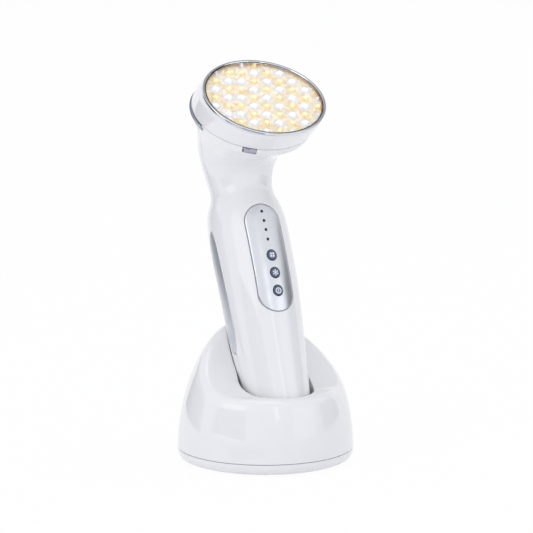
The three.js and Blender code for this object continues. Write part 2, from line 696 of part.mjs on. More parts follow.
const footCentreY = (handleAt(0)[0] + handleAt(0)[2]) / 2;
const capRings = [1, 0.6, 0.3, 0].map((t) => {
  const angle = (t * Math.PI) / 2;
  return [FOOT_ROUNDING * (1 - Math.sin(angle)), FOOT_ROUNDING * (1 - Math.cos(angle))];
});
let footCap = skin([...capRings, [FOOT_CAP_HEIGHT, 0]]
  .map(([z, inset]) => ellipseRing(handleAt(z), inset, SIDES)));
const spigotRadius = handleAt(FOOT_CAP_HEIGHT)[4] - WALL - SPIGOT_CLEARANCE;
footCap = footCap.add(post(spigotRadius, SPIGOT_HEIGHT + 0.5, 0, footCentreY, FOOT_CAP_HEIGHT - 0.5, INNER_SIDES)
  .subtract(post(spigotRadius - SPIGOT_WALL, OVERCUT, 0, footCentreY, FOOT_CAP_HEIGHT, INNER_SIDES)));
for (const x of [-CONTACT_X, CONTACT_X]) {
  footCap = footCap.subtract(post(CONTACT_RADIUS + GAP, 20, x, footCentreY, -8));
}
add(handset, 'foot_cap', footCap, 'gloss_white');

for (const [side, x] of [['left', -CONTACT_X], ['right', CONTACT_X]]) {
  const contact = post(CONTACT_RADIUS, CONTACT_THICKNESS, x, footCentreY, CONTACT_RECESS)
    .add(post(CONTACT_RADIUS + CONTACT_FLANGE, CONTACT_FLANGE_THICKNESS, x, footCentreY, FOOT_CAP_HEIGHT + GAP));
  add(handset, `charge_contact_${side}`, contact, 'brass');
}

// Head: drum, LED board, lens, bezel and trim ring

const discRing = (radius, shift, depth, sides = SIDES) => {
  const ring = [];
  for (let i = 0; i < sides; i += 1) {
    const angle = (i / sides) * 2 * Math.PI;
    ring.push(new THREE.Vector3(radius * Math.cos(angle), shift + radius * Math.sin(angle), depth));
  }
  return ring;
};
const shiftAt = (depth) => (SEAM_SHIFT * depth) / SEAM_DEPTH;
const drumProfile = [
  [SEAM_DEPTH - GAP, SEAM_RADIUS],
  [SEAM_DEPTH * 0.75, drumBulgeRadius],
  [SEAM_DEPTH * 0.45, drumBulgeRadius],
  [SEAM_DEPTH * 0.22, drumBulgeRadius - 0.35],
  [BEZEL_HEIGHT + GAP, drumTopRadius],
];
const drumRings = (inset) => drumProfile.map(([depth, radius]) => discRing(radius - inset, shiftAt(depth), -depth));
const drumOuter = skin(drumRings(0));
const boreEnds = [SEAM_DEPTH + 1, BEZEL_HEIGHT - 1];
const drumBore = skin([
  discRing(SEAM_RADIUS - DRUM_WALL, shiftAt(boreEnds[0]), -boreEnds[0]),
  ...drumRings(DRUM_WALL).slice(1, 4),
  discRing(drumTopRadius - DRUM_WALL, shiftAt(boreEnds[1]), -boreEnds[1]),
]);
const boardBottom = LED_BOARD_TOP - LED_BOARD_THICKNESS;
const shelfTop = boardBottom - GAP;
const shelf = skin([shelfTop - SHELF_THICKNESS, shelfTop].map((depth) => discRing(SEAM_RADIUS - 0.4, shiftAt(-depth), depth)))
  .subtract(post(ledBoardRadius - SHELF_WIDTH, 10, 0, LED_BOARD_SHIFT, shelfTop - 6, SIDES));
add(head, 'head_ring', drumOuter.subtract(drumBore).add(shelf.intersect(drumOuter)), 'gloss_white');

let ledBoard = post(ledBoardRadius, LED_BOARD_THICKNESS, 0, LED_BOARD_SHIFT, boardBottom, SIDES);
const ledFieldRadius = ledBoardRadius - LED_RADIUS - LED_EDGE;
const ledOpening = bezelOpening - LED_RADIUS - LED_EDGE;
const dome = turned([
  [0, -0.5],
  [LED_RADIUS, -0.5],
  [LED_RADIUS, LED_HEIGHT * 0.5],
  [0, LED_HEIGHT],
], LED_SIDES);
for (let i = -LED_SPAN; i <= LED_SPAN; i += 1) {
  for (let j = -LED_SPAN; j <= LED_SPAN; j += 1) {
    const x = LED_START[0] + i * LED_PITCH_A[0] + j * LED_PITCH_B[0];
    const y = LED_START[1] + i * LED_PITCH_A[1] + j * LED_PITCH_B[1];
    const inField = Math.hypot(x, y - LED_BOARD_SHIFT) <= ledFieldRadius && Math.hypot(x, y) <= ledOpening;
    if (inField) ledBoard = ledBoard.add(dome.translate([x, y, LED_BOARD_TOP]));
  }
}
add(head, 'led_board', ledBoard, 'led_amber');

const lensTop = -LENS_SINK;
const lensRadius = bezelOpening - GAP;
add(head, 'lens', post(lensRadius, LENS_THICKNESS, 0, 0, lensTop - LENS_THICKNESS, SIDES), 'clear_lens');

const bezel = turned([
  [bezelOpening, -BEZEL_HEIGHT],
  [drumTopRadius, -BEZEL_HEIGHT],
  [bezelRadius, -BEZEL_HEIGHT * 0.5],
  [bezelRadius - 0.3, BEZEL_PROUD * 0.5],
  [bezelRadius - 1.1, BEZEL_PROUD],
  [bezelOpening + 0.4, BEZEL_PROUD * 0.6],
  [bezelOpening, 0],
  [bezelOpening, -BEZEL_HEIGHT],
]);
add(head, 'bezel_ring', bezel, 'chrome');

const ringTop = -SEAM_DEPTH;
const ringOuter = SEAM_RADIUS - CUP_WALL - TRIM_RING_ROOM - GAP;
const ringInner = ringOuter - TRIM_RING_WIDTH;
const shown = skinForm.intersect(trimWindows(-GAP))
  .subtract(placed(seamDisc(ringInner, ringTop + 5, ringTop - 12), HEAD_TURN_DEG, FACE_Y, FACE_Z));
const hidden = placed(
  seamDisc(ringOuter, ringTop, ringTop - TRIM_WALL)
    .subtract(seamDisc(ringInner, ringTop + 5, ringTop - 5)),
  HEAD_TURN_DEG,
  FACE_Y,
  FACE_Z,
);
add(handset, 'trim_ring', shown.add(hidden), 'chrome');

// Lead from the LED board down the neck to the main board

const middleOf = ([frontY, frontZ, backY, backZ]) => [(frontY + backY) / 2, (frontZ + backZ) / 2];
const leadRoute = new THREE.CatmullRomCurve3([
  new THREE.Vector3(0, BOARD_Y, BOARD_TOP_Z + GAP),
  new THREE.Vector3(0, BOARD_Y, BOARD_TOP_Z + LEAD_RISE),
  new THREE.Vector3(0, ...middleOf(neckRows[3])),
  new THREE.Vector3(0, ...middleOf(neckRows[5])),
  new THREE.Vector3(0, ...headPoint(0, LEAD_RISE - boardBottom)),
  new THREE.Vector3(0, ...headPoint(0, GAP - boardBottom)),
]);
const leadSection = new THREE.Shape().absarc(0, 0, LEAD_RADIUS, 0, 2 * Math.PI, false);
const lead = new THREE.ExtrudeGeometry(leadSection, { steps: 16, extrudePath: leadRoute, curveSegments: 4 });
add(handset, 'head_lead', solidOf(lead), 'black_plastic');

// Cradle shell: a dome cut by a scoop, with a well that holds the foot of the handset

// Height of the dome over a point at a share of its radius, and of the scoop at a depth y
const domeRise = (share) => DOME_HEIGHT * (Math.max(0, 1 - share ** 2) ** (1 / DOME_POWER));
const scoopZ = (y) => LIP_Z + SCOOP_RISE * (Math.max(0, y - SCOOP_START_Y) ** 2);

// The lower of two heights, rounded over where they cross
function roundedLower(a, b, blend) {
  const mix = Math.max(blend - Math.abs(a - b), 0) / blend;
  return Math.min(a, b) - mix * mix * blend * 0.25;
}

// The share of the radius, on the way out to a foot point, where dome less scoop is a given height
function shareWhere(above, footY) {
  let [inner, outer] = [0, 1];
  for (let k = 0; k < SEARCH_STEPS; k += 1) {
    const middle = (inner + outer) / 2;
    const difference = SEAM_Z + domeRise(middle) - scoopZ(middle * footY);
    if (difference > above) inner = middle;
    else outer = middle;
  }
  return outer;
}

// Shares from the foot in to the middle: up the wall, over the crest and down the scoop, so that
// the rings of every side run along the crest
function sharesTo(footY, [wallRings, scoopRings]) {
  const wallEnd = domeRise(shareWhere(-RIM_BLEND, footY));
  const wall = Array.from({ length: wallRings }, (_, k) => (
    (1 - ((wallEnd * k) / wallRings / DOME_HEIGHT) ** DOME_POWER) ** 0.5
  ));
  const crest = CREST_STEPS.map((step) => shareWhere(step * RIM_BLEND, footY));
  const scoopStart = crest[crest.length - 1];
  const scoop = Array.from({ length: scoopRings }, (_, k) => scoopStart * (1 - (k + 1) / (scoopRings + 1)));
  return [...wall, ...crest, ...scoop];
}

// The dome cut by the scoop, drawn in by inset
function domeForm(inset, sides, ringCounts, bottom) {
  const radius = BASE_RADIUS - inset;
  const foot = discRing(radius, 0, bottom, sides);
  const rays = foot.map((point) => sharesTo(point.y, ringCounts).map((share) => {
    const dome = SEAM_Z + domeRise(share) * (1 - inset / DOME_HEIGHT);
    const z = roundedLower(dome, scoopZ(point.y * share) - inset, RIM_BLEND);
    return new THREE.Vector3(point.x * share, point.y * share, Math.max(z, bottom + FOOT_STEP));
  }));
  const levels = rays[0].map((_, k) => rays.map((ray) => ray[k]));
  return skin([foot, ...levels]);
}

// Room for the handset: its own sections grown by a clearance that widens to the mouth
function pocketForm(grow, bottom) {
  const heights = Array.from({ length: WELL_RINGS + 1 }, (_, k) => (WELL_TOP_Z * k) / WELL_RINGS);
  const rings = heights.map((z) => {
    const share = Math.min(1, z / MOUTH_Z);
    const clearance = POCKET_CLEARANCE + (MOUTH_CLEARANCE - POCKET_CLEARANCE) * share;
    return ellipseRing(handleAt(z), -clearance - grow, INNER_SIDES);
  });
  const floor = rings[0].map((point) => new THREE.Vector3(point.x, point.y, bottom));
  return placed(skin([floor, ...rings.slice(1)]), -LEAN_DEG, FOOT_Y, FOOT_Z);
}

const plateTop = BASE_BOTTOM_Z + PLATE_THICKNESS;
const bossBottom = plateTop + GAP;
const wellFloor = -GAP;
const wellUnderside = wellFloor - WELL_WALL;
const baseScrewPlaces = BASE_SCREW_ANGLES_DEG.map((degrees) => {
  const angle = THREE.MathUtils.degToRad(degrees);
  return [BASE_SCREW_RING * Math.cos(angle), BASE_SCREW_RING * Math.sin(angle)];
});
const jackZ = CRADLE_BOARD_Z + CRADLE_BOARD_SIZE[2] + JACK_SIZE[2] / 2;

// The jack's face stands just inside the wall, whose inside is nearest at the jack's top corners
const wallShare = (z) => (1 - ((z - SEAM_Z) / DOME_HEIGHT) ** DOME_POWER) ** 0.5;
const jackTopWall = (BASE_RADIUS - CRADLE_WALL) * wallShare(jackZ + JACK_SIZE[2] / 2);
const jackFaceY = Math.sqrt(jackTopWall ** 2 - (JACK_SIZE[0] / 2) ** 2) - JACK_CLEARANCE;
const boardMiddleY = jackFaceY - JACK_OVERHANG - CRADLE_BOARD_SIZE[1] / 2;

function cradleShell() {
  const outer = domeForm(0, DOME_SIDES, DOME_RINGS, SEAM_Z);
  const hollow = domeForm(CRADLE_WALL, INNER_SIDES, HOLLOW_RINGS, SEAM_Z - OVERCUT);
  let shell = outer.subtract(hollow.subtract(pocketForm(WELL_WALL, wellUnderside)));
  const lip = turned([
    [BASE_RADIUS - 4.4, SEAM_Z - 1.6],
    [BASE_RADIUS - 2.7, SEAM_Z - 1.6],
    [BASE_RADIUS - 2.7, SEAM_Z + 0.01],
    [BASE_RADIUS - 1.5, SEAM_Z + 0.01],
    [BASE_RADIUS - 1.5, SEAM_Z + 2],
    [BASE_RADIUS - 4.4, SEAM_Z + 2],
    [BASE_RADIUS - 4.4, SEAM_Z - 1.6],
  ]);
  shell = shell.add(lip.intersect(outer.add(post(BASE_RADIUS - 2, 6, 0, 0, SEAM_Z - 5, SIDES))));
  const bossHeight = BASE_BOSS_TOP_Z - bossBottom;
  const ribLength = BASE_RADIUS - 1 - BASE_SCREW_RING;
  const ribHeight = BASE_BOSS_TOP_Z - SEAM_Z - 0.5;
  baseScrewPlaces.forEach(([x, y], i) => {
    const rib = box(ribLength, BASE_RIB_THICKNESS, ribHeight, BASE_SCREW_RING + ribLength / 2, 0, BASE_BOSS_TOP_Z - ribHeight / 2)
      .rotate([0, 0, BASE_SCREW_ANGLES_DEG[i]])
      .intersect(outer);
    shell = shell.add(post(BASE_BOSS_RADIUS, bossHeight, x, y, bossBottom)).add(rib);
    shell = shell.subtract(post(SCREW_RADIUS + GAP, BASE_SCREW_LENGTH + 4, x, y, 0, SMALL_SIDES));
  });
  shell = shell.subtract(pocketForm(0, wellFloor));
  shell = shell.subtract(bar(JACK_WINDOW_RADIUS, 12, 0, jackFaceY - 2, jackZ));
  for (const x of [-CONTACT_X, CONTACT_X]) {
    const pinHole = post(PIN_RADIUS + GAP, 8, x, footCentreY, wellUnderside - 3, SMALL_SIDES);
    shell = shell.subtract(placed(pinHole, -LEAN_DEG, FOOT_Y, FOOT_Z));
  }
  return shell;
}
add(product, 'cradle_shell', cradleShell(), 'gloss_white');

// Base plate: a shallow tray with a rounded edge, two posts for the board, four screw holes

let basePlate = turned([
  [0, BASE_BOTTOM_Z],
  [baseFootRadius - 2, BASE_BOTTOM_Z],
  [baseFootRadius, BASE_BOTTOM_Z + 0.5],
  [baseFootRadius + 1.4, BASE_BOTTOM_Z + 1.8],
  [BASE_RADIUS - 0.3, BASE_BOTTOM_Z + 4],
  [BASE_RADIUS, SEAM_Z - BASE_SEAM_GAP],
  [BASE_RADIUS - 2.3, SEAM_Z - BASE_SEAM_GAP],
  [BASE_RADIUS - 2.6, plateTop + 1.2],
  [BASE_RADIUS - 4, plateTop],
  [0, plateTop],
]);
basePlate = basePlate.subtract(post(PAD_RADIUS + GAP, PAD_THICKNESS, 0, 0, 0, SIDES));
const [holeX, holeY] = BOARD_HOLE_STEP;
for (const x of [-holeX, holeX]) {
  for (const y of [boardMiddleY - holeY, boardMiddleY + holeY]) {
    basePlate = basePlate.add(post(POST_RADIUS, CRADLE_BOARD_Z - plateTop + 0.4, x, y, plateTop - 0.4, SMALL_SIDES));
  }
}
for (const [x, y] of baseScrewPlaces) {
  basePlate = basePlate.subtract(post(SCREW_RADIUS + GAP, 8, x, y, 0, SMALL_SIDES));
  basePlate = basePlate.subtract(post(SCREW_HEAD_RADIUS + GAP, 1.4, x, y, 0.7));
}
add(product, 'base_plate', basePlate, 'gloss_white');
add(product, 'non_slip_pad', post(PAD_RADIUS, PAD_THICKNESS, 0, 0, 0, SIDES), 'rubber');
add(product, 'ballast_weight', post(BALLAST_RADIUS, BALLAST_HEIGHT, 0, BALLAST_Y, plateTop, SIDES), 'steel');

baseScrewPlaces.forEach(([x, y], i) => {
  const baseScrew = post(SCREW_HEAD_RADIUS, 0.9, x, y, BASE_BOTTOM_Z + 0.4)
    .add(post(SCREW_RADIUS, BASE_SCREW_LENGTH, x, y, BASE_BOTTOM_Z + 1, SMALL_SIDES));
  add(product, `base_screw_${i + 1}`, baseScrew, 'steel');
});

// Board and power socket at the back of the cradle

const [boardX, boardY, boardZ] = CRADLE_BOARD_SIZE;
add(product, 'cradle_board', box(boardX, boardY, boardZ, 0, boardMiddleY, CRADLE_BOARD_Z + boardZ / 2), 'circuit_board');
const [jackX, jackY, jackHeight] = JACK_SIZE;
const jack = box(jackX, jackY, jackHeight, 0, jackFaceY - jackY / 2, jackZ)
  .subtract(bar(JACK_BORE_RADIUS, JACK_BORE_DEPTH + 1, 0, jackFaceY - JACK_BORE_DEPTH, jackZ));
add(product, 'dc_jack', jack, 'black_plastic');
add(product, 'jack_pin', bar(JACK_PIN_RADIUS, JACK_BORE_DEPTH - 1, 0, jackFaceY - JACK_BORE_DEPTH, jackZ, SMALL_SIDES), 'steel');

// Sprung charging pins under the well's floor, in the handset's lean

const pins = new THREE.Group();
pins.rotation.copy(handset.rotation);
pins.position.copy(handset.position);
product.add(pins);

const blockTop = wellUnderside - GAP;
const flangeTop = blockTop - GAP;
const pinLength = PIN_STEM + PIN_TRAVEL;
let block = box(...BLOCK_SIZE, 0, footCentreY, blockTop - BLOCK_SIZE[2] / 2);
for (const [side, x] of [['left', -CONTACT_X], ['right', CONTACT_X]]) {
  block = block.subtract(post(BARREL_RADIUS + GAP, 20, x, footCentreY, blockTop - 15));
  const pinTop = CONTACT_RECESS - GAP;
  const pin = post(PIN_RADIUS, pinLength, x, footCentreY, pinTop - pinLength, SMALL_SIDES)
    .add(post(PIN_FLANGE_RADIUS, PIN_FLANGE_THICKNESS, x, footCentreY, flangeTop - PIN_FLANGE_THICKNESS, SMALL_SIDES));
  add(pins, `contact_pin_${side}`, pin, 'brass');
  const barrelBottom = blockTop - BARREL_LENGTH;
  const barrel = post(BARREL_RADIUS, BARREL_LENGTH, x, footCentreY, barrelBottom)
    .subtract(post(PIN_FLANGE_RADIUS + GAP, BARREL_LENGTH, x, footCentreY, barrelBottom + BARREL_FLOOR));
  add(pins, `pin_barrel_${side}`, barrel, 'brass');
}
add(pins, 'contact_block', block, 'black_plastic');

export default product;
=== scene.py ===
"""The dressed look of an LED skincare wand that stands in its charging cradle.

Sizes are millimetres in the frame that a class names, and become metres in the mesh. The world
frame has +Z up, the front towards -Y and its origin under the middle of the cradle's pad.
"""

from __future__ import annotations

import logging
import math
from dataclasses import dataclass, field
from enum import Enum
from functools import cached_property, partial
from typing import Any, Callable, Sequence

import bmesh
import bpy
import numpy as np
from bpy.types import Material, Node, NodeSocket, NodeTree, Object, World
from numpy import ndarray
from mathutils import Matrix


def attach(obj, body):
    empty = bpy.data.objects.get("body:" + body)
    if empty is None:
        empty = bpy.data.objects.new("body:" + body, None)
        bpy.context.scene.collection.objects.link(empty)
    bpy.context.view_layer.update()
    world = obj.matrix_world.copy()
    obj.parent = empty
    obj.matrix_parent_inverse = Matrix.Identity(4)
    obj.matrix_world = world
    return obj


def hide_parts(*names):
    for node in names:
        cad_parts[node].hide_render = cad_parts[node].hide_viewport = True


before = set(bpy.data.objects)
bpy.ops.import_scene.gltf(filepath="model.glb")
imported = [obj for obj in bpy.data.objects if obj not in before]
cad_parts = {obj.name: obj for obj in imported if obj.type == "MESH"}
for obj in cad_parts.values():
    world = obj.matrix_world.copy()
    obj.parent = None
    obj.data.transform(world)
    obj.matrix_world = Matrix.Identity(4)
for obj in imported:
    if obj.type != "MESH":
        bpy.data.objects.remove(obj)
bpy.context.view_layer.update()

MM = 0.001
MERGE_DISTANCE_MM = 0.002
GAP = 0.3  # width of the lines between pieces
SCREW_Z = 13.0  # height of the screw that joins the shells, in the handset's frame
SCREW_SINK = 3.0  # how deep that screw's head is let in below the skin
SEARCH_TURNS = 10
GLOW = "glow"
CREASE_DEG = 38.0
TAU = 2.0 * math.pi
QUARTER = math.pi / 2.0
Placing = Callable[[ndarray], ndarray]

log = logging.getLogger("wand")


# Places and frames


@dataclass(frozen=True)
class Placement:
    """A frame held in another one: turned about x, then moved along y and z."""

    turn_deg: float
    y: float
    z: float

    def out(self, points: ndarray) -> ndarray:
        """Carries points out of this frame.

        Formula: y' = y cos a - z sin a + move, z' = y sin a + z cos a + move, x stays.

        Args:
            points: array whose last axis is x, y, z.

        Returns:
            The same points in the frame that holds this one.
        """
        angle = math.radians(self.turn_deg)
        x, y, z = np.moveaxis(points, -1, 0)
        turned_y = y * math.cos(angle) - z * math.sin(angle) + self.y
        turned_z = y * math.sin(angle) + z * math.cos(angle) + self.z
        return np.stack([x, turned_y, turned_z], axis=-1)

    def into(self, points: ndarray) -> ndarray:
        """Carries points into this frame: the inverse of out.

        Args:
            points: array whose last axis is x, y, z.

        Returns:
            The same points in this frame.
        """
        angle = math.radians(self.turn_deg)
        x, y, z = np.moveaxis(points, -1, 0)
        near_y, near_z = y - self.y, z - self.z
        back_y = near_y * math.cos(angle) + near_z * math.sin(angle)
        back_z = near_z * math.cos(angle) - near_y * math.sin(angle)
        return np.stack([x, back_y, back_z], axis=-1)


HANDSET = Placement(turn_deg=-25.0, y=-22.3, z=21.4)
HEAD = Placement(turn_deg=52.0, y=-49.8, z=163.1)


def stack(x: Any, y: Any, z: Any) -> ndarray:
    """Joins three arrays that broadcast together into points.

    Args:
        x: x values.
        y: y values.
        z: z values.

    Returns:
        An array whose last axis is x, y, z.
    """
    return np.stack(np.broadcast_arrays(x, y, z), axis=-1).astype(float)


def from_head(points: ndarray) -> ndarray:
    """Carries points from the light head's frame to the world."""
    return HANDSET.out(HEAD.out(points))


# Curves


def spline(knots: ndarray, values: ndarray, where: ndarray) -> ndarray:
    """Runs a natural cubic spline through rows of values.

    Formula: the second slopes m solve h m' + 2(h + h')m + h' m'' = 6 (step of the first slopes)
    with m zero at both ends, and each span is the cubic of its two values and second slopes.

    Args:
        knots: rising positions, n of them.
        values: n rows of values.
        where: positions to read the spline at.

    Returns:
        One row of values for each position.
    """
    steps = np.diff(knots)
    count = len(knots)
    matrix = np.zeros((count, count))
    matrix[0, 0] = matrix[-1, -1] = 1.0
    inner = np.arange(1, count - 1)
    matrix[inner, inner - 1] = steps[:-1]
    matrix[inner, inner] = 2.0 * (steps[:-1] + steps[1:])
    matrix[inner, inner + 1] = steps[1:]
    slopes = np.diff(values, axis=0) / steps[:, None]
    right = np.zeros_like(values)
    right[1:-1] = 6.0 * np.diff(slopes, axis=0)
    bends = np.linalg.solve(matrix, right)
    span = np.clip(np.searchsorted(knots, where, side="right") - 1, 0, count - 2)
    step = steps[span][..., None]
    past = (where - knots[span])[..., None]
    left = step - past
    cubic = (bends[span] * left**3 + bends[span + 1] * past**3) / (6.0 * step)
    line = (values[span] / step - bends[span] * step / 6.0) * left
    return cubic + line + (values[span + 1] / step - bends[span + 1] * step / 6.0) * past


def rounded(corners: Sequence[tuple[float, float, float]], steps: int = 6) -> ndarray:
    """Turns corners with radii into a profile with arcs.

    Formula: a corner of radius r between two edges at angle a becomes the arc that touches both
    edges at r / tan(a / 2) from the corner.

    Args:
        corners: across, along and radius of each corner; the first and last stay sharp.
        steps: pieces in each arc.

    Returns:
        Points of the profile, one row each.
    """
    points = np.array([corner[:2] for corner in corners], float)
    profile = [points[:1]]
    for index in range(1, len(corners) - 1):
        corner, radius = points[index], corners[index][2]
        back = points[index - 1] - corner
        ahead = points[index + 1] - corner
        back /= np.linalg.norm(back)
        ahead /= np.linalg.norm(ahead)
        half = math.acos(float(np.clip(back @ ahead, -1.0, 1.0))) / 2.0
        if radius <= 0.0 or half > math.pi / 2.0 - 1e-3:
            profile.append(corner[None])
            continue
        middle = (back + ahead) / np.linalg.norm(back + ahead)
        centre = corner + middle * radius / math.sin(half)
        reach = math.pi / 2.0 - half
        across = back - ahead
        across /= np.linalg.norm(across)
        turn = np.linspace(reach, -reach, steps + 1)[:, None]
        profile.append(centre + radius * (across * np.sin(turn) - middle * np.cos(turn)))
    profile.append(points[-1:])
    return np.concatenate(profile)


def edge_drop(distance: ndarray, radius: float) -> ndarray:
    """Gives how far a rounded edge falls below its face.

    Formula: r - sqrt(r^2 - (r - d)^2) nearer to the edge than r, and 0 further in.

    Args:
        distance: distance in from the edge.
        radius: radius of the rounding.

    Returns:
        The drop at each distance.
    """
    near = np.clip(radius - distance, 0.0, radius)
    return radius - np.sqrt(radius**2 - near**2)


def rounded_run(start: float, stop: float, radius: float, arc_steps: int, steps: int) -> ndarray:
    """Gives places along a line that has rounded ends.

    Formula: radius (1 - cos turn) in from each end over a quarter turn, and even steps between.

    Args:
        start: first place.
        stop: last place.
        radius: radius of the rounding.
        arc_steps: places in each rounding.
        steps: places between the roundings, with their two ends.

    Returns:
        The rising places.
    """
    ends = radius * (1.0 - np.cos(np.linspace(0.0, QUARTER, arc_steps)))
    between = np.linspace(start + radius, stop - radius, steps)[1:-1]
    return np.concatenate([start + ends, between, stop - ends[::-1]])


def around(sides: int) -> ndarray:
    """Gives even steps round a full turn, in radians."""
    return np.arange(sides) * TAU / sides


def smooth(share: ndarray) -> ndarray:
    """Eases a share s that is kept within 0 and 1: s^2 (3 - 2 s)."""
    share = np.clip(share, 0.0, 1.0)
    return share * share * (3.0 - 2.0 * share)


def halve(low: ndarray, high: ndarray, beyond: Placing, turns: int) -> ndarray:
    """Finds where a test begins to hold between two bounds, by halving.

    Args:
        low: bounds where it doesn't hold.
        high: bounds where it holds.
        beyond: says at which of some places it holds.
        turns: how often to halve.

    Returns:
        The places where it begins to hold.
    """
    for _ in range(turns):
        mid = (low + high) / 2.0
        past = beyond(mid)
        low, high = np.where(past, low, mid), np.where(past, mid, high)
    return (low + high) / 2.0


# Meshes


@dataclass
class Patch:
    """A grid of points in millimetres, joined into quads."""

    points: ndarray  # rows by columns by 3
    wrap: bool = True  # whether the last column joins the first

    def quads(self) -> ndarray:
        """Numbers the corners of the grid's quads.

        Returns:
            One row of four corners for each quad.
        """
        rows, columns = self.points.shape[:2]
        numbers = np.arange(rows * columns).reshape(rows, columns)
        if self.wrap:
            numbers = np.concatenate([numbers, numbers[:, :1]], axis=1)
        near, far = numbers[:-1], numbers[1:]
        corners = [near[:, :-1], near[:, 1:], far[:, 1:], far[:, :-1]]
        return np.stack([corner.ravel() for corner in corners], axis=1)


def closed_loop(points: ndarray) -> list[Patch]:
    """Closes a loop that is carried along a line, by a cap at each end.

    Args:
        points: rows of the loop; the second half of a row runs back beside the first half.

    Returns:
        The wrapped grid and its two caps.
    """
    half = points.shape[1] // 2
    caps = [Patch(np.stack([row[:half], row[:half - 1:-1]]), wrap=False) for row in points[[0, -1]]]
    return [Patch(points), *caps]


def solid(name: str, patches: Sequence[Patch], place: Placing = np.asarray) -> Object:
    """Builds a closed mesh from grids that meet edge to edge.

    Args:
        name: the object's name.
        patches: grids in millimetres.
        place: carries their points into the world frame.

    Returns:
        The linked object, at the origin, with merged seams and faces pointing out.
    """
    offset = 0
    points, quads = [], []
    for patch in patches:
        quads.append(patch.quads() + offset)
        points.append(place(patch.points).reshape(-1, 3) * MM)
        offset += len(points[-1])
    mesh = bpy.data.meshes.new(name)
    mesh.from_pydata(np.concatenate(points).tolist(), [], np.concatenate(quads).tolist())
    shaped = bmesh.new()
    shaped.from_mesh(mesh)
    bmesh.ops.remove_doubles(shaped, verts=shaped.verts, dist=MERGE_DISTANCE_MM * MM)
    bmesh.ops.recalc_face_normals(shaped, faces=shaped.faces)
    shaped.to_mesh(mesh)
    shaped.free()
    piece = bpy.data.objects.new(name, mesh)
    bpy.context.scene.collection.objects.link(piece)
    return piece


class Carve(Enum):
    """What a tool does to the piece it is used on."""

    CUT = "DIFFERENCE"
    JOIN = "UNION"


def carve(piece: Object, tools: Sequence[Object], mode: Carve = Carve.CUT) -> None:
    """Cuts tools out of a piece, or joins them to it, and removes the tools.

    Args:
        piece: the closed mesh to change.
        tools: closed meshes.
        mode: whether to cut or join.
    """
    for tool in tools:
        step = piece.modifiers.new("carve", "BOOLEAN")
        step.object = tool
        step.operation = mode.value
        step.solver = "MANIFOLD"
    depsgraph = bpy.context.evaluated_depsgraph_get()
    result = bpy.data.meshes.new_from_object(piece.evaluated_get(depsgraph))
    piece.modifiers.clear()
    piece.data = result
    for tool in tools:
        bpy.data.objects.remove(tool)


def finish_piece(piece: Object, body: str, slot: str, finish: Finish, *stands_for: str) -> None:
    """Shades a piece, dresses it and hangs it on its body.

    Args:
        piece: the finished mesh.
        body: the body it moves with.
        slot: the record's material slot; not used.
        finish: its look.
        *stands_for: construction nodes that it replaces.
    """
    piece.data.shade_smooth()
    piece.data.set_sharp_from_angle(angle=math.radians(CREASE_DEG))
    piece.data.materials.clear()
    piece.data.materials.append(finish.material())
    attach(piece, body)
    if stands_for:
        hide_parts(*stands_for)
    log.info("%s: %d faces, rides on %s", piece.name, len(piece.data.polygons), body)


def turned(profile: ndarray, sides: int, centre: tuple[float, float] = (0.0, 0.0)) -> Patch:
    """Carries a profile round an axis along z.

    Formula: x = r cos a, y = r sin a about the centre, z as in the profile.

    Args:
        profile: rows of radius and height.
        sides: steps round the axis.
        centre: x and y of the axis.

    Returns:
        A wrapped grid, one row for each point of the profile.
    """
    angle = around(sides)
    radius, height = profile[:, :1], profile[:, 1:]
    x = centre[0] + radius * np.cos(angle)
    y = centre[1] + radius * np.sin(angle)
    return Patch(stack(x, y, height))


def along_y(patch: Patch, x: float, y: float, z: float) -> Patch:
    """Lays a grid that was turned about z on its side: its height runs along -y.

    Formula: (x, y, z) becomes (x, -z, y), which keeps the grid's handedness, then is moved.

    Args:
        patch: the grid.
        x: where its axis crosses, across.
        y: where its height zero lies.
        z: where its axis crosses, up.

    Returns:
        The moved grid.
    """
    across, deep, high = np.moveaxis(patch.points, -1, 0)
    return Patch(stack(across + x, y - high, deep + z), patch.wrap)


# Finishes


def linear(colour: str) -> tuple[float, float, float, float]:
    """Turns an sRGB hex colour to linear.

    Formula: c / 12.92 below 0.04045, ((c + 0.055) / 1.055)^2.4 above it.

    Args:
        colour: six hex digits.

    Returns:
        Red, green, blue and alpha, linear.
    """
    shares = [int(colour[start:start + 2], 16) / 255.0 for start in (0, 2, 4)]
    lit = [c / 12.92 if c <= 0.04045 else ((c + 0.055) / 1.055) ** 2.4 for c in shares]
    return lit[0], lit[1], lit[2], 1.0


def add_node(tree: NodeTree, kind: str, inputs: dict | None = None, **settings: Any) -> Node:
    """Adds a node with its settings, values and links.

    Args:
        tree: the node tree.
        kind: Blender's name of the node type.
        inputs: input name or number to a value, or to the output that feeds it.
        **settings: properties of the node.

    Returns:
        The node.
    """
    node = tree.nodes.new(kind)
    for name, value in settings.items():
        setattr(node, name, value)
    for name, value in (inputs or {}).items():
        if isinstance(value, NodeSocket):
            tree.links.new(value, node.inputs[name])
        else:
            node.inputs[name].default_value = value
    return node


def bare_tree(holder: Material | World) -> NodeTree:
    """Empties the node tree of a new material or world.

    Args:
        holder: the material or world.

    Returns:
        The bare tree.
    """
    holder.use_nodes = True
    holder.node_tree.nodes.clear()
    return holder.node_tree


def mixed(tree: NodeTree, share: Any, low: Any, high: Any) -> NodeSocket:
    """Mixes two colours.

    Args:
        tree: the node tree.
        share: the output that gives the share of the second colour.
        low: the first colour, a value or an output.
        high: the second colour.

    Returns:
        The output with the mixed colour.
    """
    first_colour, second_colour, result = 6, 7, 2
    inputs = {"Factor": share, first_colour: low, second_colour: high}
    return add_node(tree, "ShaderNodeMix", inputs, data_type="RGBA").outputs[result]


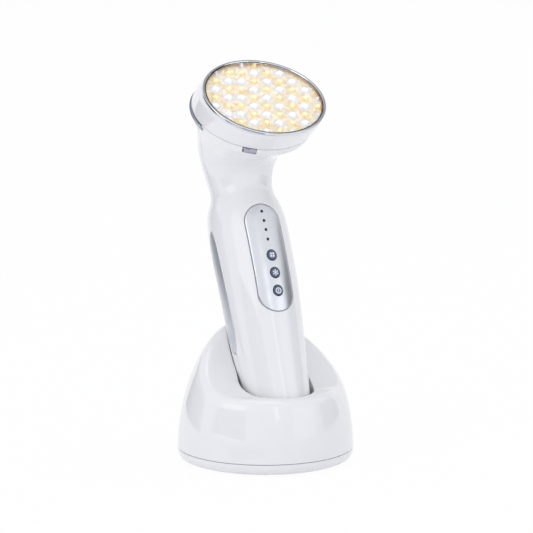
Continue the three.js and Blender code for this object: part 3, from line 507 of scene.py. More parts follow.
@dataclass(frozen=True)
class Finish:
    """A surface: its colour, how far that drifts, its gloss and its fine relief."""

    name: str  # the material's name
    colour: str  # sRGB hex of the surface
    shade: str  # sRGB hex that the colour drifts to
    patch_mm: float  # size of the patches of drifting colour
    roughness: float  # mean roughness
    spread: float  # how far the roughness drifts either way
    grain_mm: float  # width of one grain of the fine relief
    relief_mm: float  # height of the fine relief
    metallic: float = 0.0  # 1 for bare or plated metal
    ior: float = 1.5  # index of refraction, for what isn't metal
    coat: float = 0.0  # strength of a clear coat
    coat_roughness: float = 0.03  # roughness of that coat

    def material(self) -> Material:
        """Builds the material, unless one is already built under its name.

        Returns:
            The material.
        """
        built = bpy.data.materials.get(self.name)
        if built:
            return built
        material = bpy.data.materials.new(self.name)
        tree = bare_tree(material)
        inputs = {"Metallic": self.metallic, "IOR": self.ior, "Coat Weight": self.coat,
                  "Coat Roughness": self.coat_roughness}
        shader = add_node(tree, "ShaderNodeBsdfPrincipled", inputs)
        self.dress(shader)
        add_node(tree, "ShaderNodeOutputMaterial", {"Surface": shader.outputs["BSDF"]})
        return material

    def dress(self, shader: Node) -> None:
        """Feeds the shader's colour, roughness and relief from noise in real sizes.

        Args:
            shader: the principled shader.
        """
        tree = shader.id_data
        place = add_node(tree, "ShaderNodeTexCoord").outputs["Object"]
        inputs = {"Vector": place, "Scale": 1.0 / (self.patch_mm * MM), "Detail": 3.0}
        patches = add_node(tree, "ShaderNodeTexNoise", inputs).outputs["Fac"]
        colour = mixed(tree, patches, linear(self.colour), linear(self.shade))
        least, most = self.roughness - self.spread, self.roughness + self.spread
        inputs = {"Value": patches, "From Min": 0.3, "From Max": 0.7, "To Min": least, "To Max": most}
        roughness = add_node(tree, "ShaderNodeMapRange", inputs)
        inputs = {"Vector": place, "Scale": 1.0 / (self.grain_mm * MM), "Detail": 2.0}
        grains = add_node(tree, "ShaderNodeTexNoise", inputs).outputs["Fac"]
        relief = add_node(tree, "ShaderNodeBump", {"Height": grains, "Distance": self.relief_mm * MM})
        tree.links.new(colour, shader.inputs["Base Color"])
        tree.links.new(roughness.outputs["Result"], shader.inputs["Roughness"])
        tree.links.new(relief.outputs["Normal"], shader.inputs["Normal"])


# The handset's form


@dataclass(frozen=True)
class BodyForm:
    """The handset's smooth body, in its own frame: handle, neck and cup.

    Every section is an ellipse between a front point and a back point. The seam's section is the
    circle that the light head's drum stands on.
    """

    # Height, half width, front and back of the level sections.
    handle: tuple[tuple[float, ...], ...] = (
        (0.0, 15.9, -17.9, 19.4),
        (14.0, 16.8, -18.6, 20.7),
        (28.0, 17.8, -19.8, 21.9),
        (44.0, 18.9, -21.2, 22.8),
        (60.0, 19.7, -22.7, 23.2),
        (74.0, 20.2, -23.5, 23.3),
        (88.0, 20.5, -23.2, 23.9),
        (101.0, 20.5, -22.5, 24.0),
        (111.0, 19.9, -21.2, 23.4),
        (118.0, 18.3, -19.1, 21.9),
    )
    # Front point, back point and half width of the tilting sections.
    neck: tuple[tuple[float, ...], ...] = (
        (-17.2, 123.0, 17.8, 123.8, 16.5),
        (-17.3, 127.9, 16.8, 130.4, 16.6),
        (-18.8, 131.8, 16.6, 139.0, 17.9),
        (-22.0, 134.5, 15.3, 148.9, 19.8),
        (-28.0, 135.0, 10.5, 158.8, 22.3),
    )
    # Steps from the seam's front and back points, and how far the width is drawn in.
    cup: tuple[tuple[float, ...], ...] = (
        (16.4, 0.0, 14.3, -17.1, 7.7),
        (8.0, -1.1, 6.7, -9.3, 4.0),
        (2.4, -1.5, 1.2, -3.0, 1.5),
    )
    seam_depth: float = 16.1  # depth of the seam below the head's face
    seam_shift: float = 8.3  # how far the seam's centre lies behind the face's
    seam_radius: float = 32.6  # radius of the seam
    wall: float = 2.6  # wall of the handle
    cup_wall: float = 4.2  # wall at the seam, in the plane of its section
    cup_reach: float = 12.0  # how far below the seam the skin is searched

    @cached_property
    def sections(self) -> ndarray:
        """Gathers the sections of handle, neck, cup and seam.

        Returns:
            Rows of front y, front z, back y, back z and half width.
        """
        handle = np.array(self.handle)
        level = np.stack([handle[:, 2], handle[:, 0], handle[:, 3], handle[:, 0], handle[:, 1]], axis=1)
        across = self.seam_shift + np.array([-self.seam_radius, self.seam_radius])
        ends = HEAD.out(stack(0.0, across, -self.seam_depth))[:, 1:].ravel()
        seam = np.append(ends, self.seam_radius)
        cup = seam + np.array(self.cup) * [1.0, 1.0, 1.0, 1.0, -1.0]
        return np.concatenate([level, np.array(self.neck), cup, seam[None]])

    @cached_property
    def knots(self) -> ndarray:
        """Measures the body's middle line.

        Returns:
            How far along it each section lies.
        """
        middles = (self.sections[:, :2] + self.sections[:, 2:4]) / 2.0
        steps = np.linalg.norm(np.diff(middles, axis=0), axis=1)
        return np.concatenate([[0.0], np.cumsum(steps)])

    @property
    def end(self) -> float:
        """How far along the middle line the seam lies."""
        return float(self.knots[-1])

    @property
    def foot_y(self) -> float:
        """The y of the foot's middle."""
        return float(self.middle(np.array(0.0))[0])

    def rows(self, run: ndarray) -> ndarray:
        """Reads the sections along the middle line, by a spline through them all."""
        return spline(self.knots, self.sections, np.asarray(run, float))

    def point(self, run: ndarray, angle: ndarray, inset: Any = 0.0) -> ndarray:
        """Gives points of the body.

        Formula: x = (half - inset) cos a; y and z = the section's middle + (reach - inset) sin a
        along the line from its front point to its back point.

        Args:
            run: places along the middle line.
            angle: angle round the section, with sin a = -1 in front.
            inset: how far inside the skin.

        Returns:
            Points in the handset's frame.
        """
        rows = self.rows(run)
        front, back, half = rows[..., 0:2], rows[..., 2:4], rows[..., 4]
        length = np.linalg.norm(back - front, axis=-1)
        along = (back - front) / length[..., None]
        middle = (front + back) / 2.0
        reach = (length / 2.0 - inset) * np.sin(angle)
        y = middle[..., 0] + along[..., 0] * reach
        z = middle[..., 1] + along[..., 1] * reach
        return stack((half - inset) * np.cos(angle), y, z)

    def reach(self, run: ndarray) -> ndarray:
        """Half the depth of the section at places along the middle line."""
        rows = self.rows(run)
        return np.linalg.norm(rows[..., 2:4] - rows[..., 0:2], axis=-1) / 2.0

    def middle(self, run: ndarray) -> ndarray:
        """The y and z of the section's middle at places along the middle line."""
        rows = self.rows(run)
        return (rows[..., 0:2] + rows[..., 2:4]) / 2.0

    def run_at(self, height: Any) -> ndarray:
        """Finds the place along the middle line at a height in the handle."""
        table = np.linspace(0.0, self.end, 600)
        return np.interp(height, self.middle(table)[:, 1], table)

    def front_at(self, x: Any, z: Any) -> ndarray:
        """Finds the y of the front skin over x and z.

        Formula: the place along the middle line moves by what the skin's height misses z by.

        Args:
            x: across.
            z: up.

        Returns:
            The skin's y in the handset's frame.
        """
        x, z = np.broadcast_arrays(np.asarray(x, float), np.asarray(z, float))
        run = self.run_at(z)
        for _ in range(SEARCH_TURNS):
            angle = -np.arccos(np.clip(x / self.rows(run)[..., 4], -1.0, 1.0))
            skin = self.point(run, angle)
            run = run + z - skin[..., 2]
        return skin[..., 1]

    def side_at(self, y: Any, z: Any) -> ndarray:
        """Finds the x of the right side's skin over y and z.

        Formula: the place along the middle line moves until its section's line holds (y, z);
        then x = half sqrt(1 - t^2), with t the share of the reach.

        Args:
            y: depth.
            z: up.

        Returns:
            The skin's x in the handset's frame.
        """
        y, z = np.broadcast_arrays(np.asarray(y, float), np.asarray(z, float))
        run = self.run_at(z)
        for _ in range(SEARCH_TURNS):
            rows = self.rows(run)
            middle = self.middle(run)
            tilt = (rows[..., 3] - rows[..., 1]) / (rows[..., 2] - rows[..., 0])
            run = run + (z - middle[..., 1]) - tilt * (y - middle[..., 0])
        share = np.hypot(y - middle[..., 0], z - middle[..., 1]) / self.reach(run)
        return rows[..., 4] * np.sqrt(np.clip(1.0 - share**2, 0.0, 1.0))

    def run_at_depth(self, depth: ndarray, angle: ndarray) -> ndarray:
        """Finds where the cup's skin lies at a depth below the head's face.

        Args:
            depth: depths below the face.
            angle: angles round the section.

        Returns:
            Places along the middle line.
        """
        depth, angle = np.broadcast_arrays(depth, angle)
        seam = np.full(depth.shape, self.end)

        def beyond(run: ndarray) -> ndarray:
            """Says where the skin lies no deeper than asked for."""
            return -HEAD.into(self.point(run, angle))[..., 2] <= depth

        return halve(seam - self.cup_reach, seam, beyond, 24)


def prism(outline: ndarray, start: float, stop: float, axis: int) -> Patch:
    """Extrudes a rounded outline along x or y, closed by a fan at each end.

    Args:
        outline: rows of the two other coordinates, in their order.
        start: where it starts.
        stop: where it stops.
        axis: 0 for along x, 1 for along y.

    Returns:
        A closed grid in the outline's frame.
    """
    centre = np.repeat(outline.mean(axis=0)[None], len(outline), axis=0)
    rings = ((centre, start), (outline, start), (outline, stop), (centre, stop))
    return Patch(np.stack([np.insert(ring, axis, place, axis=1) for ring, place in rings]))


# The finishes of this object: patches in mm, roughness, its spread, grain in mm, relief in mm

# Gloss white ABS, moulded in a polished tool: an even milky white with a sharp soft
# reflection, and a very slight waviness that bends the lamps' edges in it.
GLOSS_WHITE = Finish("gloss_abs", "F2F2F3", "EFEFF1", 30.0, 0.09, 0.015, 14.0, 0.008, coat=0.2)

# Chrome-plated ABS: a hard mirror that shows the room in light and dark bands.
CHROME = Finish("chrome_plate", "DADCE0", "D2D5DA", 14.0, 0.055, 0.02, 5.0, 0.004, metallic=1.0)

# The same plating on a lightly matted tool, for the trim: a duller lilac-grey mirror.
SATIN_CHROME = Finish("satin_chrome", "B2B5C2", "A8ABB9", 5.0, 0.1, 0.03, 0.6, 0.002, metallic=1.0)

# Silver paint over plastic: fine flakes lie flat, so the sheen spreads wide and cool.
SILVER_PANEL = Finish("silver_paint", "DCDFE5", "D2D6DD", 6.0, 0.3, 0.03, 0.25, 0.004, metallic=0.85,
                      coat=0.3, coat_roughness=0.08)

# The same paint with more matting agent, on the side inlays: a duller satin silver.
SILVER_GRIP = Finish("satin_silver_paint", "E2E6EC", "D8DCE4", 8.0, 0.36, 0.04, 0.3, 0.006, metallic=0.7)

# PC/ABS buttons, moulded in slate blue with a spark-eroded skin: dark and softly glossy.
BUTTON_SLATE = Finish("slate_abs", "55617C", "4C5872", 2.5, 0.32, 0.05, 0.2, 0.006)

# The same buttons' caps, polished in the tool and glossier; their lighter colour is a painted reflection
# of the room.
BUTTON_CAP_PAINTED_SHEEN = Finish("slate_abs_polished_painted_sheen", "7C88A2", "727E98", 2.5, 0.22, 0.04, 0.3, 0.004)

# Pad-printed ink of the button signs: a pale grey film, matt at its edges.
SIGN_INK = Finish("pale_ink", "F6F8FB", "ECF0F5", 0.8, 0.5, 0.05, 0.15, 0.003)

# Smoked acrylic pips: almost black until they are lit, with a wet gloss.
SMOKED_PIP = Finish("smoked_acrylic", "26272B", "1E1F23", 1.0, 0.12, 0.02, 0.5, 0.002)

# Silicone rubber of the pad: dull grey with a dusting of fine grain.
PAD_RUBBER = Finish("pad_rubber", "8B8D92", "7F8186", 7.0, 0.82, 0.06, 0.5, 0.03)

# Zinc-plated steel, tumbled: bright grey with soft cloudy patches.
STEEL = Finish("zinc_plated_steel", "B4B8BD", "A2A6AC", 2.0, 0.3, 0.08, 0.4, 0.006, metallic=1.0)

# Gold-flashed brass of the contacts: warm mirror with fine turning marks.
BRASS = Finish("gold_flashed_brass", "D8B268", "C79F55", 1.5, 0.22, 0.05, 0.25, 0.004, metallic=1.0)

# Green solder resist on glass fibre: the weave shows as faint clouds.
CIRCUIT_BOARD = Finish("solder_resist", "2F6F4B", "28603F", 1.2, 0.42, 0.06, 0.6, 0.01)

# Glass-filled nylon, moulded with a fine spark-eroded texture: charcoal, never quite even.
BLACK_PLASTIC = Finish("black_nylon", "26272B", "1F2024", 3.0, 0.48, 0.06, 0.3, 0.012)

# Heat-shrunk sleeve of the cell: taut film with a low, slightly rippled shine.
BATTERY_WRAP = Finish("shrink_sleeve", "3F6FA8", "376397", 9.0, 0.3, 0.04, 3.0, 0.05)


@dataclass(frozen=True)
class LampFinish(Finish):
    """Clear epoxy over a lit die: the light is strongest over it and fades to the foot."""

    core: str = "FFFFFF"  # sRGB hex of the lit middle
    strength: float = 0.45  # strength of the light in the middle

    def dress(self, shader: Node) -> None:
        """Adds the lamp's light, which the mesh's own glow attribute spreads over it.

        Args:
            shader: the principled shader.
        """
        super().dress(shader)
        tree = shader.id_data
        glow = add_node(tree, "ShaderNodeAttribute", attribute_name=GLOW).outputs["Fac"]
        drifting = shader.inputs["Base Color"].links[0].from_socket
        colour = mixed(tree, glow, drifting, linear(self.core))
        light = add_node(tree, "ShaderNodeMath", {0: glow, 1: self.strength}, operation="MULTIPLY")
        tree.links.new(colour, shader.inputs["Base Color"])
        tree.links.new(light.outputs[0], shader.inputs["Emission Strength"])
        shader.inputs["Emission Color"].default_value = linear(self.core)


# Epoxy lamps, cast clear and lit: a cold white and a warm amber.
LAMP_WHITE = LampFinish("white_lamp", "EDEFF5", "E0E3EE", 1.1, 0.12, 0.03, 0.9, 0.06)
LAMP_AMBER = LampFinish("amber_lamp", "FBE3A8", "F6D68E", 1.1, 0.12, 0.03, 0.9, 0.05, core="FFF6CC")


@dataclass(frozen=True)
class BoardFinish(Finish):
    """Faceted metallised reflector whose light is painted: a painted amber reflection of the lamps between
    them, painted cool light round the white ones, painted highlights on its facets and a faint painted
    glow.
    """

    painted_white_lamp_light: str = "E9EAF0"  # sRGB hex of the painted cool light of the white lamps, round them
    painted_facet_highlight: str = "FFFBEE"  # sRGB hex of the painted highlights on the facets
    facet_mm: float = 1.5  # width of a facet
    light: float = 0.05  # strength of the painted glow in the board's own colour

    def dress(self, shader: Node) -> None:
        """Adds painted facet highlights, the painted cool light round the white lamps and a faint painted
        glow to the common dressing.

        Args:
            shader: the principled shader.
        """
        super().dress(shader)
        tree = shader.id_data
        facets = add_node(tree, "ShaderNodeTexVoronoi", {
            "Vector": add_node(tree, "ShaderNodeTexCoord").outputs["Object"],
            "Scale": 1.0 / (self.facet_mm * MM),
        })
        share = add_node(tree, "ShaderNodeSeparateColor", {"Color": facets.outputs["Color"]})
        glow = add_node(tree, "ShaderNodeAttribute", attribute_name=GLOW)
        drifting = shader.inputs["Base Color"].links[0].from_socket
        # Painted light: the amber ground stands for the amber lamps' reflection, the cream facets are
        # painted highlights, the cool colour near the white lamps is their painted light, and the emission
        # set below is a painted glow.
        warm = mixed(tree, share.outputs[0], drifting, linear(self.painted_facet_highlight))
        colour = mixed(tree, glow.outputs["Fac"], linear(self.painted_white_lamp_light), warm)
        tree.links.new(colour, shader.inputs["Base Color"])
        tree.links.new(colour, shader.inputs["Emission Color"])
        shader.inputs["Emission Strength"].default_value = self.light


# Reflector plate, moulded with facets and metallised: its amber colour is a painted reflection of the
# amber lamps, and it glows faintly with painted light.
LAMP_BOARD = BoardFinish("reflector_board", "F2DCA8", "EAC47C", 4.0, 0.3, 0.06, 1.4, 0.15)

# Vacuum-gilded plastic of the collar: a warm mirror that repeats the lamps.
COLLAR = Finish("gilded_collar", "E7B468", "D99F50", 4.0, 0.16, 0.03, 2.0, 0.01, metallic=1.0)


@dataclass(frozen=True)
class ClearFinish(Finish):
    """Clear acrylic, extruded and polished: seen only by its reflections."""

    clearness: float = 0.82  # share of light that passes

    def dress(self, shader: Node) -> None:
        """Makes the common dressing see-through.

        Args:
            shader: the principled shader.
        """
        super().dress(shader)
        shader.inputs["Transmission Weight"].default_value = 1.0
        shader.inputs["Alpha"].default_value = 1.0 - self.clearness


WINDOW = ClearFinish("clear_acrylic", "FFFFFF", "F8FAFF", 20.0, 0.04, 0.01, 12.0, 0.003, ior=1.49)


# The housing


@dataclass(frozen=True)
class Housing:
    """Front and rear shells that meet on the parting line, and the inlays in their sides."""

    form: BodyForm  # the body that the shells follow
    foot_z: float = 3.9  # height where the shells start above the foot's cover
    parting: float = 0.6  # width of the shells' parting line
    edge: float = 0.6  # rounding of the shells' edges along it
    end_edge: float = 0.5  # rounding of their edges at the foot and at the seam
    half_steps: int = 110  # steps round half a section
    row_steps: int = 190  # steps along the body
    skin_slack: float = 0.08  # how far the shells lie inside the body's skin
    grip_low: float = 41.0  # lower tip of the side inlays
    grip_high: float = 106.0  # upper tip of the side inlays
    grip_width: float = 9.6  # width of the side inlays
    grip_set_back: float = 0.8  # how far the inlays lie behind the parting line
    grip_fullness: float = 5.0  # how full the inlays' tips are
    grip_thickness: float = 1.2  # thickness of the side inlays
    grip_slack: float = 0.02  # how far the inlays' faces lie inside the skin
    screw_head: float = 2.4  # radius of the shells' screw's head

    def wall(self, run: ndarray) -> ndarray:
        """Gives the wall, which grows evenly from the neck to the seam.

        Args:
            run: places along the middle line.

        Returns:
            The wall at each place.
        """
        back_z = self.form.rows(run)[..., 3]
        neck_z, seam_z = self.form.handle[-1][0], self.form.sections[-1, 3]
        share = np.clip((back_z - neck_z) / (seam_z - neck_z), 0.0, 1.0)
        return self.form.wall + share * (self.form.cup_wall - self.form.wall)

    def shell(self, name: str, start: float) -> Object:
        """Builds one shell from one side's parting line to the other's.

        Formula: a C-shaped loop of angle and inset (outer arc, rounded edge, parting face, inner
        arc) is carried along the middle line. Distances along the skin become angles by the reach.

        Args:
            name: the piece's name.
            start: angle of its first parting line.

        Returns:
            The closed shell.
        """
        form = self.form
        first, last = float(form.run_at(self.foot_z)), form.end
        run = rounded_run(first, last, self.end_edge, 6, self.row_steps)[:, None]
        turn = np.linspace(0.0, QUARTER, 6)
        ends = self.edge * (1.0 - np.cos(turn))
        reach = form.reach(run)
        start_angle = start + (self.parting / 2.0 + ends) / reach
        stop_angle = start + math.pi - (self.parting / 2.0 + ends[::-1]) / reach
        share = np.linspace(0.0, 1.0, self.half_steps + 2)[1:-1]
        arc = start_angle[:, -1:] + (stop_angle[:, :1] - start_angle[:, -1:]) * share
        outer_angle = np.concatenate([start_angle, arc, stop_angle], axis=1)
        edge_inset = self.edge * (1.0 - np.sin(turn))
        outer_inset = np.concatenate([edge_inset, np.zeros(len(share)), edge_inset[::-1]])
        end_drop = edge_drop(np.minimum(run - first, last - run), self.end_edge)
        outer_inset = outer_inset + end_drop + self.skin_slack
        inner_share = np.linspace(1.0, 0.0, outer_angle.shape[1])
        inner_angle = outer_angle[:, :1] + (outer_angle[:, -1:] - outer_angle[:, :1]) * inner_share
        inner_inset = np.broadcast_to(self.wall(run), inner_angle.shape)
        angle = np.concatenate([outer_angle, inner_angle], axis=1)
        inset = np.concatenate([outer_inset, inner_inset], axis=1)
        points = form.point(np.broadcast_to(run, angle.shape), angle, inset)
        return solid(name, closed_loop(points), HANDSET.out)

    def grip_outline(self, grow: float) -> ndarray:
        """Gives the leaf of a side inlay, in y and z.

        Formula: z runs from tip to tip by a cosine; the half width is the full one times
        sqrt(1 - |2 share - 1|^fullness) on both sides of the parting line's offset.

        Args:
            grow: how far outside the leaf.

        Returns:
            Rows of y and z, once round.
        """
        share = 0.5 - 0.5 * np.cos(np.linspace(0.0, math.pi, 61))
        z, middle, reach = self.grip_line(share, grow)
        up = np.stack([middle + reach, z], axis=1)[:-1]
        down = np.stack([middle - reach, z], axis=1)[:0:-1]
        return np.concatenate([up, down])

    def grip_line(self, share: ndarray, grow: float = 0.0) -> tuple[ndarray, ndarray, ndarray]:
        """Gives the line of a side inlay.

        Args:
            share: shares of its length.
            grow: how far outside the leaf.

        Returns:
            Height, middle and half width at each share.
        """
        low, high = self.grip_low - grow, self.grip_high + grow
        z = low + (high - low) * share
        middle = self.form.middle(self.form.run_at(z))[:, 0] + self.grip_set_back
        full = np.sqrt(np.clip(1.0 - np.abs(2.0 * share - 1.0) ** self.grip_fullness, 0.0, None))
        return z, middle, (self.grip_width / 2.0 + grow) * full

    def inlay(self, side: int) -> Object:
        """Builds a side inlay: a leaf of even thickness in the skin, with rounded edges.

        Formula: across the leaf y = middle + share * reach; the outer face is the skin less the
        drop of the rounded edge, the inner face is the skin less the thickness.

        Args:
            side: 1 for the right, -1 for the left.

        Returns:
            The piece.
        """
        z, middle, reach = self.grip_line(0.5 - 0.5 * np.cos(np.linspace(0.0, math.pi, 141)))
        across = np.sin(np.linspace(-QUARTER, QUARTER, 41))
        y = middle[:, None] + reach[:, None] * across
        height = np.broadcast_to(z[:, None], y.shape)
        skin = self.form.side_at(y, height)
        from_edge = reach[:, None] * (1.0 - np.abs(across))
        outer = skin - edge_drop(from_edge, self.end_edge) - self.grip_slack
        inner = skin - self.grip_thickness
        loop_x = np.concatenate([outer, inner[:, ::-1]], axis=1)
        loop_y = np.concatenate([y, y[:, ::-1]], axis=1)
        loop_z = np.concatenate([height, height], axis=1)
        name = "side_inlay_right" if side > 0 else "side_inlay_left"
        return solid(name, closed_loop(stack(side * loop_x, loop_y, loop_z)), HANDSET.out)

    def tools(self, trim: "Trim", fascia: "Fascia | None") -> list[Object]:
        """Makes what cuts a shell: recesses, trim windows, and the panel's or the screw's hole.

        Args:
            trim: the trim that shows through them.
            fascia: the control fascia for the front shell, None for the rear.

        Returns:
            Closed tools in the world frame.
        """
        outline = self.grip_outline(1.5 * GAP)
        blocks = [prism(outline, side * 5.0, side * 60.0, axis=0) for side in (-1, 1)]
        if fascia is not None:
            blocks.append(fascia.recess())
        else:
            run = self.form.run_at(SCREW_Z)
            skin_y = float(self.form.point(run, np.array(QUARTER))[1])
            wide, narrow, floor = self.screw_head + GAP, 1.5, SCREW_SINK
            profile = np.array([[0.0, -60.0], [wide + 0.4, -60.0], [wide + 0.4, -0.1], [wide, 0.35],
                                [wide, floor], [narrow, floor], [narrow, 30.0], [0.0, 30.0]])
            blocks.append(along_y(turned(profile, 48), 0.0, skin_y, SCREW_Z))
        windows = [solid("tool", window, from_head) for window in trim.windows()]
        return [solid("tool", [block], HANDSET.out) for block in blocks] + windows

    def build(self, trim: "Trim", fascia: "Fascia") -> None:
        """Makes the shells and the inlays.

        Args:
            trim: the bright trim under the drum.
            fascia: the control fascia set into the front.
        """
        front = self.shell("front_housing", math.pi)
        carve(front, self.tools(trim, fascia) + fascia.holes(0.0))
        finish_piece(front, "handset", "gloss_white", GLOSS_WHITE, "front_shell")
        rear = self.shell("rear_housing", 0.0)
        carve(rear, self.tools(trim, None))
        finish_piece(rear, "handset", "gloss_white", GLOSS_WHITE, "rear_shell")
        for side, node in ((1, "side_grip_right"), (-1, "side_grip_left")):
            finish_piece(self.inlay(side), "handset", "silver_grip", SILVER_GRIP, node)


@dataclass(frozen=True)
class Trim:
    """The bright trim between drum and cup: a band round the back and a short tab in front."""

    form: BodyForm  # the body whose skin the trim lies in
    depth: float = 3.4  # how far below the seam it reaches
    thickness: float = 1.9  # wall of the trim
    band_deg: tuple[float, float] = (-13.0, 193.0)  # first and last angle of the band
    tab_deg: tuple[float, float] = (246.0, 13.4)  # middle and span of the tab
    edge: float = 0.2  # rounding of the trim's edges
    proud: float = 1.4  # how far it stands out of the cup's skin at the sides
    # Inner and outer radius of the notches that it shows through.
    notch_radii: tuple[float, float] = (24.0, 40.0)

    def spans(self) -> list[tuple[float, float]]:
        """First and last angle of the band and of the tab, in degrees."""
        middle, span = self.tab_deg
        return [self.band_deg, (middle - span / 2.0, middle + span / 2.0)]

    def windows(self) -> list[list[Patch]]:
        """Shapes the notches in the cup's rim: blocks between two angles, radii and heights.

        Returns:
            The patches of each notch, in the head's frame.
        """
        inner, outer = self.notch_radii
        bottom, top = -self.form.seam_depth - self.depth, 1.0 - self.form.seam_depth
        radius, height = np.array([inner, outer, outer, inner]), np.array([bottom, bottom, top, top])
        blocks = []
        for start, stop in self.spans():
            angle = np.radians(np.linspace(start, stop, max(3, int((stop - start) / 2.0))))[:, None]
            y = self.form.seam_shift + radius * np.sin(angle)
            blocks.append(closed_loop(stack(radius * np.cos(angle), y, height)))
        return blocks

    def strip(self, start_deg: float, stop_deg: float) -> list[Patch]:
        """Builds one stretch of the trim in the handset's frame.

        Formula: a loop of depth below the face and inset (outer face, rounded edges, inner face)
        is carried round the section; each depth is found on the skin. The outer face stands out
        of the skin by proud (1 - 1.3 |sin angle|), and by nothing where that is less than 0.

        Args:
            start_deg: first angle of its window.
            stop_deg: last angle of its window.

        Returns:
            Patches that close it.
        """
        slack = math.degrees(GAP / self.form.seam_radius)
        count = max(12, int((stop_deg - start_deg) / 1.2))
        angle = np.radians(np.linspace(start_deg + slack, stop_deg - slack, count))[:, None]
        top, bottom = self.form.seam_depth + 0.02, self.form.seam_depth + self.depth - GAP
        outer = rounded_run(top, bottom, self.edge, 5, 6)
        level = np.concatenate([outer, outer[::-1]])
        skin_inset = edge_drop(np.minimum(outer - top, bottom - outer), self.edge)
        from_end = np.minimum(angle - angle[0], angle[-1] - angle) * self.form.seam_radius
        stand = self.proud * np.clip(1.0 - 1.3 * np.abs(np.sin(angle)), 0.0, 1.0)
        outer_inset = skin_inset + edge_drop(from_end, self.edge) - stand
        inner_inset = np.full(outer_inset.shape, self.thickness)
        inset = np.concatenate([outer_inset, inner_inset], axis=1)
        run = self.form.run_at_depth(level, angle)
        points = self.form.point(run, np.broadcast_to(angle, run.shape), inset)
        return closed_loop(points)

    def build(self) -> None:
        """Makes the band and the tab as one piece."""
        patches = [patch for span in self.spans() for patch in self.strip(*span)]
        piece = solid("bright_trim", patches, HANDSET.out)
        finish_piece(piece, "handset", "chrome", SATIN_CHROME, "trim_ring")


# The control fascia


